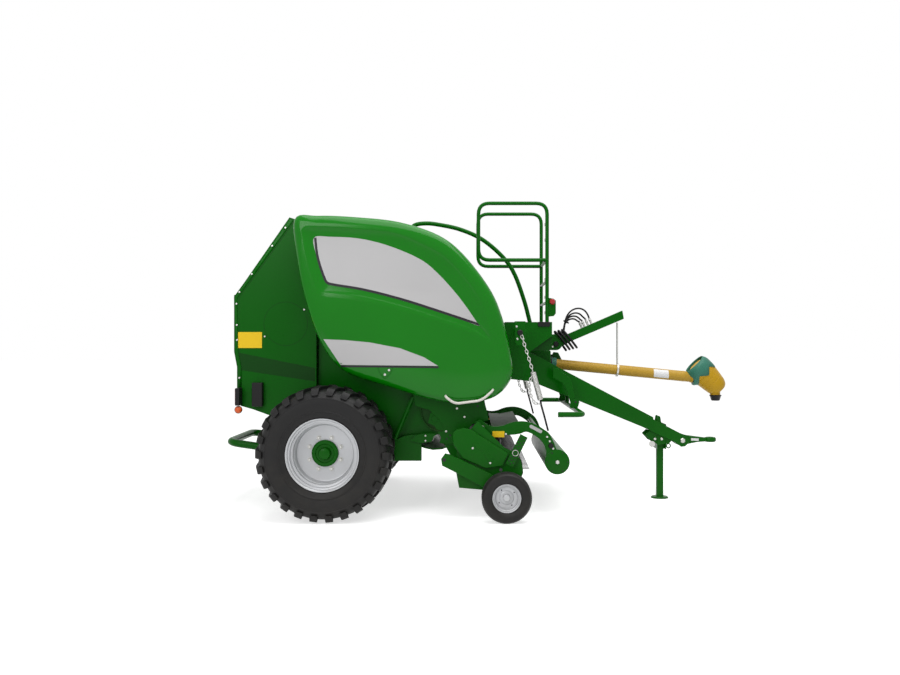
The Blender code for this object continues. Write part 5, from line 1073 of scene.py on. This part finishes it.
pin_heads = [heads(((2.915, 0.566), (2.978, 0.566)), 0.0925, side, 0.013, 0.022) for side in (-1, 1)]
made("head_bolts", joined(*pivot_nuts, *pin_heads), zinc_plate)
loop_line = [at(x, -0.088, z) for x, z in arc(3.045, 0.5, 0.018, 0, 15, 25, high=0.02)]
tube("jack_pin_loop", [loop_line], 0.005, frame_paint)

# Tow eye: forged shank that tapers from its pivot knuckle, bolted in the drawbar head, to the round
# eye, with a blank white label on its side.
EYE_HOLE = 0.025
shank_side = [
    *arc(3.172, 0.552, 0.056, 60, 15, 17), (3.33, 0.528), (3.415, 0.533), (3.415, 0.568), (3.33, 0.578),
    (3.225, 0.592)]
shank = plate(shank_side, -0.042, 0.042)
for vert in shank.verts:
    slim = min(1.0, max(0.0, (vert.co.x - (AXLE_X + 3.225)) / 0.19))
    vert.co.y *= 1 - 0.35 * slim
eye_ring = spun(
    ((EYE_HOLE, -0.016), (EYE_HOLE + 0.004, -0.022), (0.047, -0.022), (0.055, -0.01), (0.055, 0.01),
    (0.047, 0.022), (EYE_HOLE + 0.004, 0.022), (EYE_HOLE, 0.016)), at(3.457, 0, 0.5505), (0, 0, 1), 48)
made("tow_eye_shown", joined(shank, eye_ring), frame_paint, stands_for=("tow_eye",), smooth=35, soften=0.004)
tag = plate(((3.268, 0.566), (3.34, 0.563), (3.34, 0.541), (3.268, 0.543)), -0.0425, -0.0405)
made("tow_eye_label", tag, label_white)

# Parking jack: square tube leg that slides in the sleeve, with a dished round foot welded under it and
# the latch plates that hold it standing on the sleeve's sides.
leg = bmesh.new()
bmesh.ops.create_cube(leg, size=1)
bmesh.ops.transform(
    leg, verts=leg.verts, matrix=Matrix.Translation(at(2.98, 0, 0.345))
    @ Matrix.Diagonal((0.062, 0.062, 0.67, 1)))
made("jack_leg_shown", leg, frame_paint, "jack", stands_for=("jack_leg",), soften=0.006)
foot = spun(
    ((0.0, 0.024), (0.03, 0.022), (0.05, 0.016), (0.074, 0.014), (0.0825, 0.004), (0.0825, 0.0),
    (0.076, 0.002), (0.0, 0.006)), at(2.98, 0, 0.0), (0, 0, 1), 48)
made("jack_foot", foot, frame_paint, "jack", smooth=40)
LATCH = ((2.938, 0.69), (2.95, 0.77), (2.965, 0.78), (2.978, 0.765), (2.99, 0.69))
made("jack_latch", both(LATCH, 0.044, 0.052), frame_paint, soften=0.003)

# Beam dressing: pressed brackets that carry the safety bar, an eared plate bolted beside each, and the
# folded side plates under the platform, coloured in the darker shade green as painted shade; their holes are
# flat black dots of painted shade.
BRACKET = (
    (1.93, 1.236), (1.975, 1.232), (2.067, 1.162), (2.095, 1.12), (2.14, 0.9), (2.098, 0.892), (2.055, 1.03),
    (2.015, 1.105), (1.93, 1.15))
EARED = ((2.077, 0.9), (2.09, 0.955), (2.15, 0.962), (2.166, 0.935), (2.15, 0.884), (2.085, 0.88))
SIDE_PLATE = ((1.55, 1.64), (1.905, 1.64), (1.912, 1.42), (1.89, 1.395), (1.72, 1.39), (1.55, 1.44))
for label, side in SIDES:
    made("beam_bracket_" + label, plate(BRACKET, side * 0.462, side * 0.474), frame_paint, soften=0.003)
    made("eared_plate_" + label, plate(EARED, side * 0.478, side * 0.486), frame_paint, soften=0.002)
    # Flat black dot for the eared plate's hole: painted shade.
    made("eared_hole_" + label, heads(((2.13, 0.935),), 0.4858, side, 0.01, 0.001, 16), black_trim_and_hole_shade)
    # The side plates under the platform take the darker shade green, painted shade; their holes are black
    # dots of painted shade.
    made("platform_side_" + label, plate(SIDE_PLATE, side * 0.585, side * 0.593), painted_shade_green, soften=0.002)
    holes = heads(((1.728, 1.556), (1.755, 1.556), (1.775, 1.53)), 0.5932, side, 0.014, 0.001, 16)
    made("platform_holes_" + label, holes, black_trim_and_hole_shade)
tail_plate = plate(
    ((1.96, 1.33), (1.985, 1.375), (2.03, 1.37), (2.065, 1.3), (2.055, 1.285), (1.96, 1.285)), 0.075, 0.083)
made("shaft_guard_plate", tail_plate, frame_paint, soften=0.002)

# Ladder fittings: plated clamps on the near guard post, and the cut plate bracket of the small round
# lamp in front of it.
clamps = []
for z in (1.72, 1.86, 2.02, 2.2, 2.38, 2.52):
    clamps.append(
        plate(((1.866, z), (1.884, z + 0.012), (1.884, z + 0.03), (1.866, z + 0.03)), -0.334, -0.31))
made("post_clamps", joined(*clamps), zinc_plate, soften=0.001)
LAMP_PLATE = ((1.905, 1.7), (1.95, 1.705), (1.968, 1.73), (1.968, 1.845), (1.95, 1.862), (1.905, 1.87))
made("lamp_plate", plate(LAMP_PLATE, -0.346, -0.34), frame_paint, soften=0.001)
round_lamp = spun(
    ((0.0, 0.02), (0.02, 0.018), (0.026, 0.01), (0.027, 0.0), (0.0, 0.0)), at(1.936, -0.346, 1.835),
    (0, -1, 0), 28)
made("round_lamp", round_lamp, lens_red, smooth=40)

# Guard rail: bent round tube either side of the platform, joined by the ladder's rungs and bolted down
# on round foot plates.
POST_X, RAIL_Y = 1.889, 0.34
RAIL = ((POST_X, 1.648), (POST_X, 2.727), (1.267, 2.727), (1.267, 2.213), (POST_X, 2.213))
FOOT_PLATE = ((0.0, 0.006), (0.045, 0.006), (0.045, 0.0), (0.0, 0.0))
rails = [rounded([at(x, y, z) for x, z in RAIL], 0.1) for y in (-RAIL_Y, RAIL_Y)]
tube("guard_rail_shown", rails, 0.017, frame_paint, stands_for=("guard_rail",))
rungs = [[at(POST_X, -RAIL_Y, z), at(POST_X, RAIL_Y, z)] for z in (2.213, 2.02, 1.83)]
tube("guard_rail_rungs", rungs, 0.0136, frame_paint)
feet = [spun(FOOT_PLATE, at(POST_X, y, 1.645), (0, 0, 1), 32) for y in (-RAIL_Y, RAIL_Y)]
made("guard_rail_feet", joined(*feet), frame_paint)
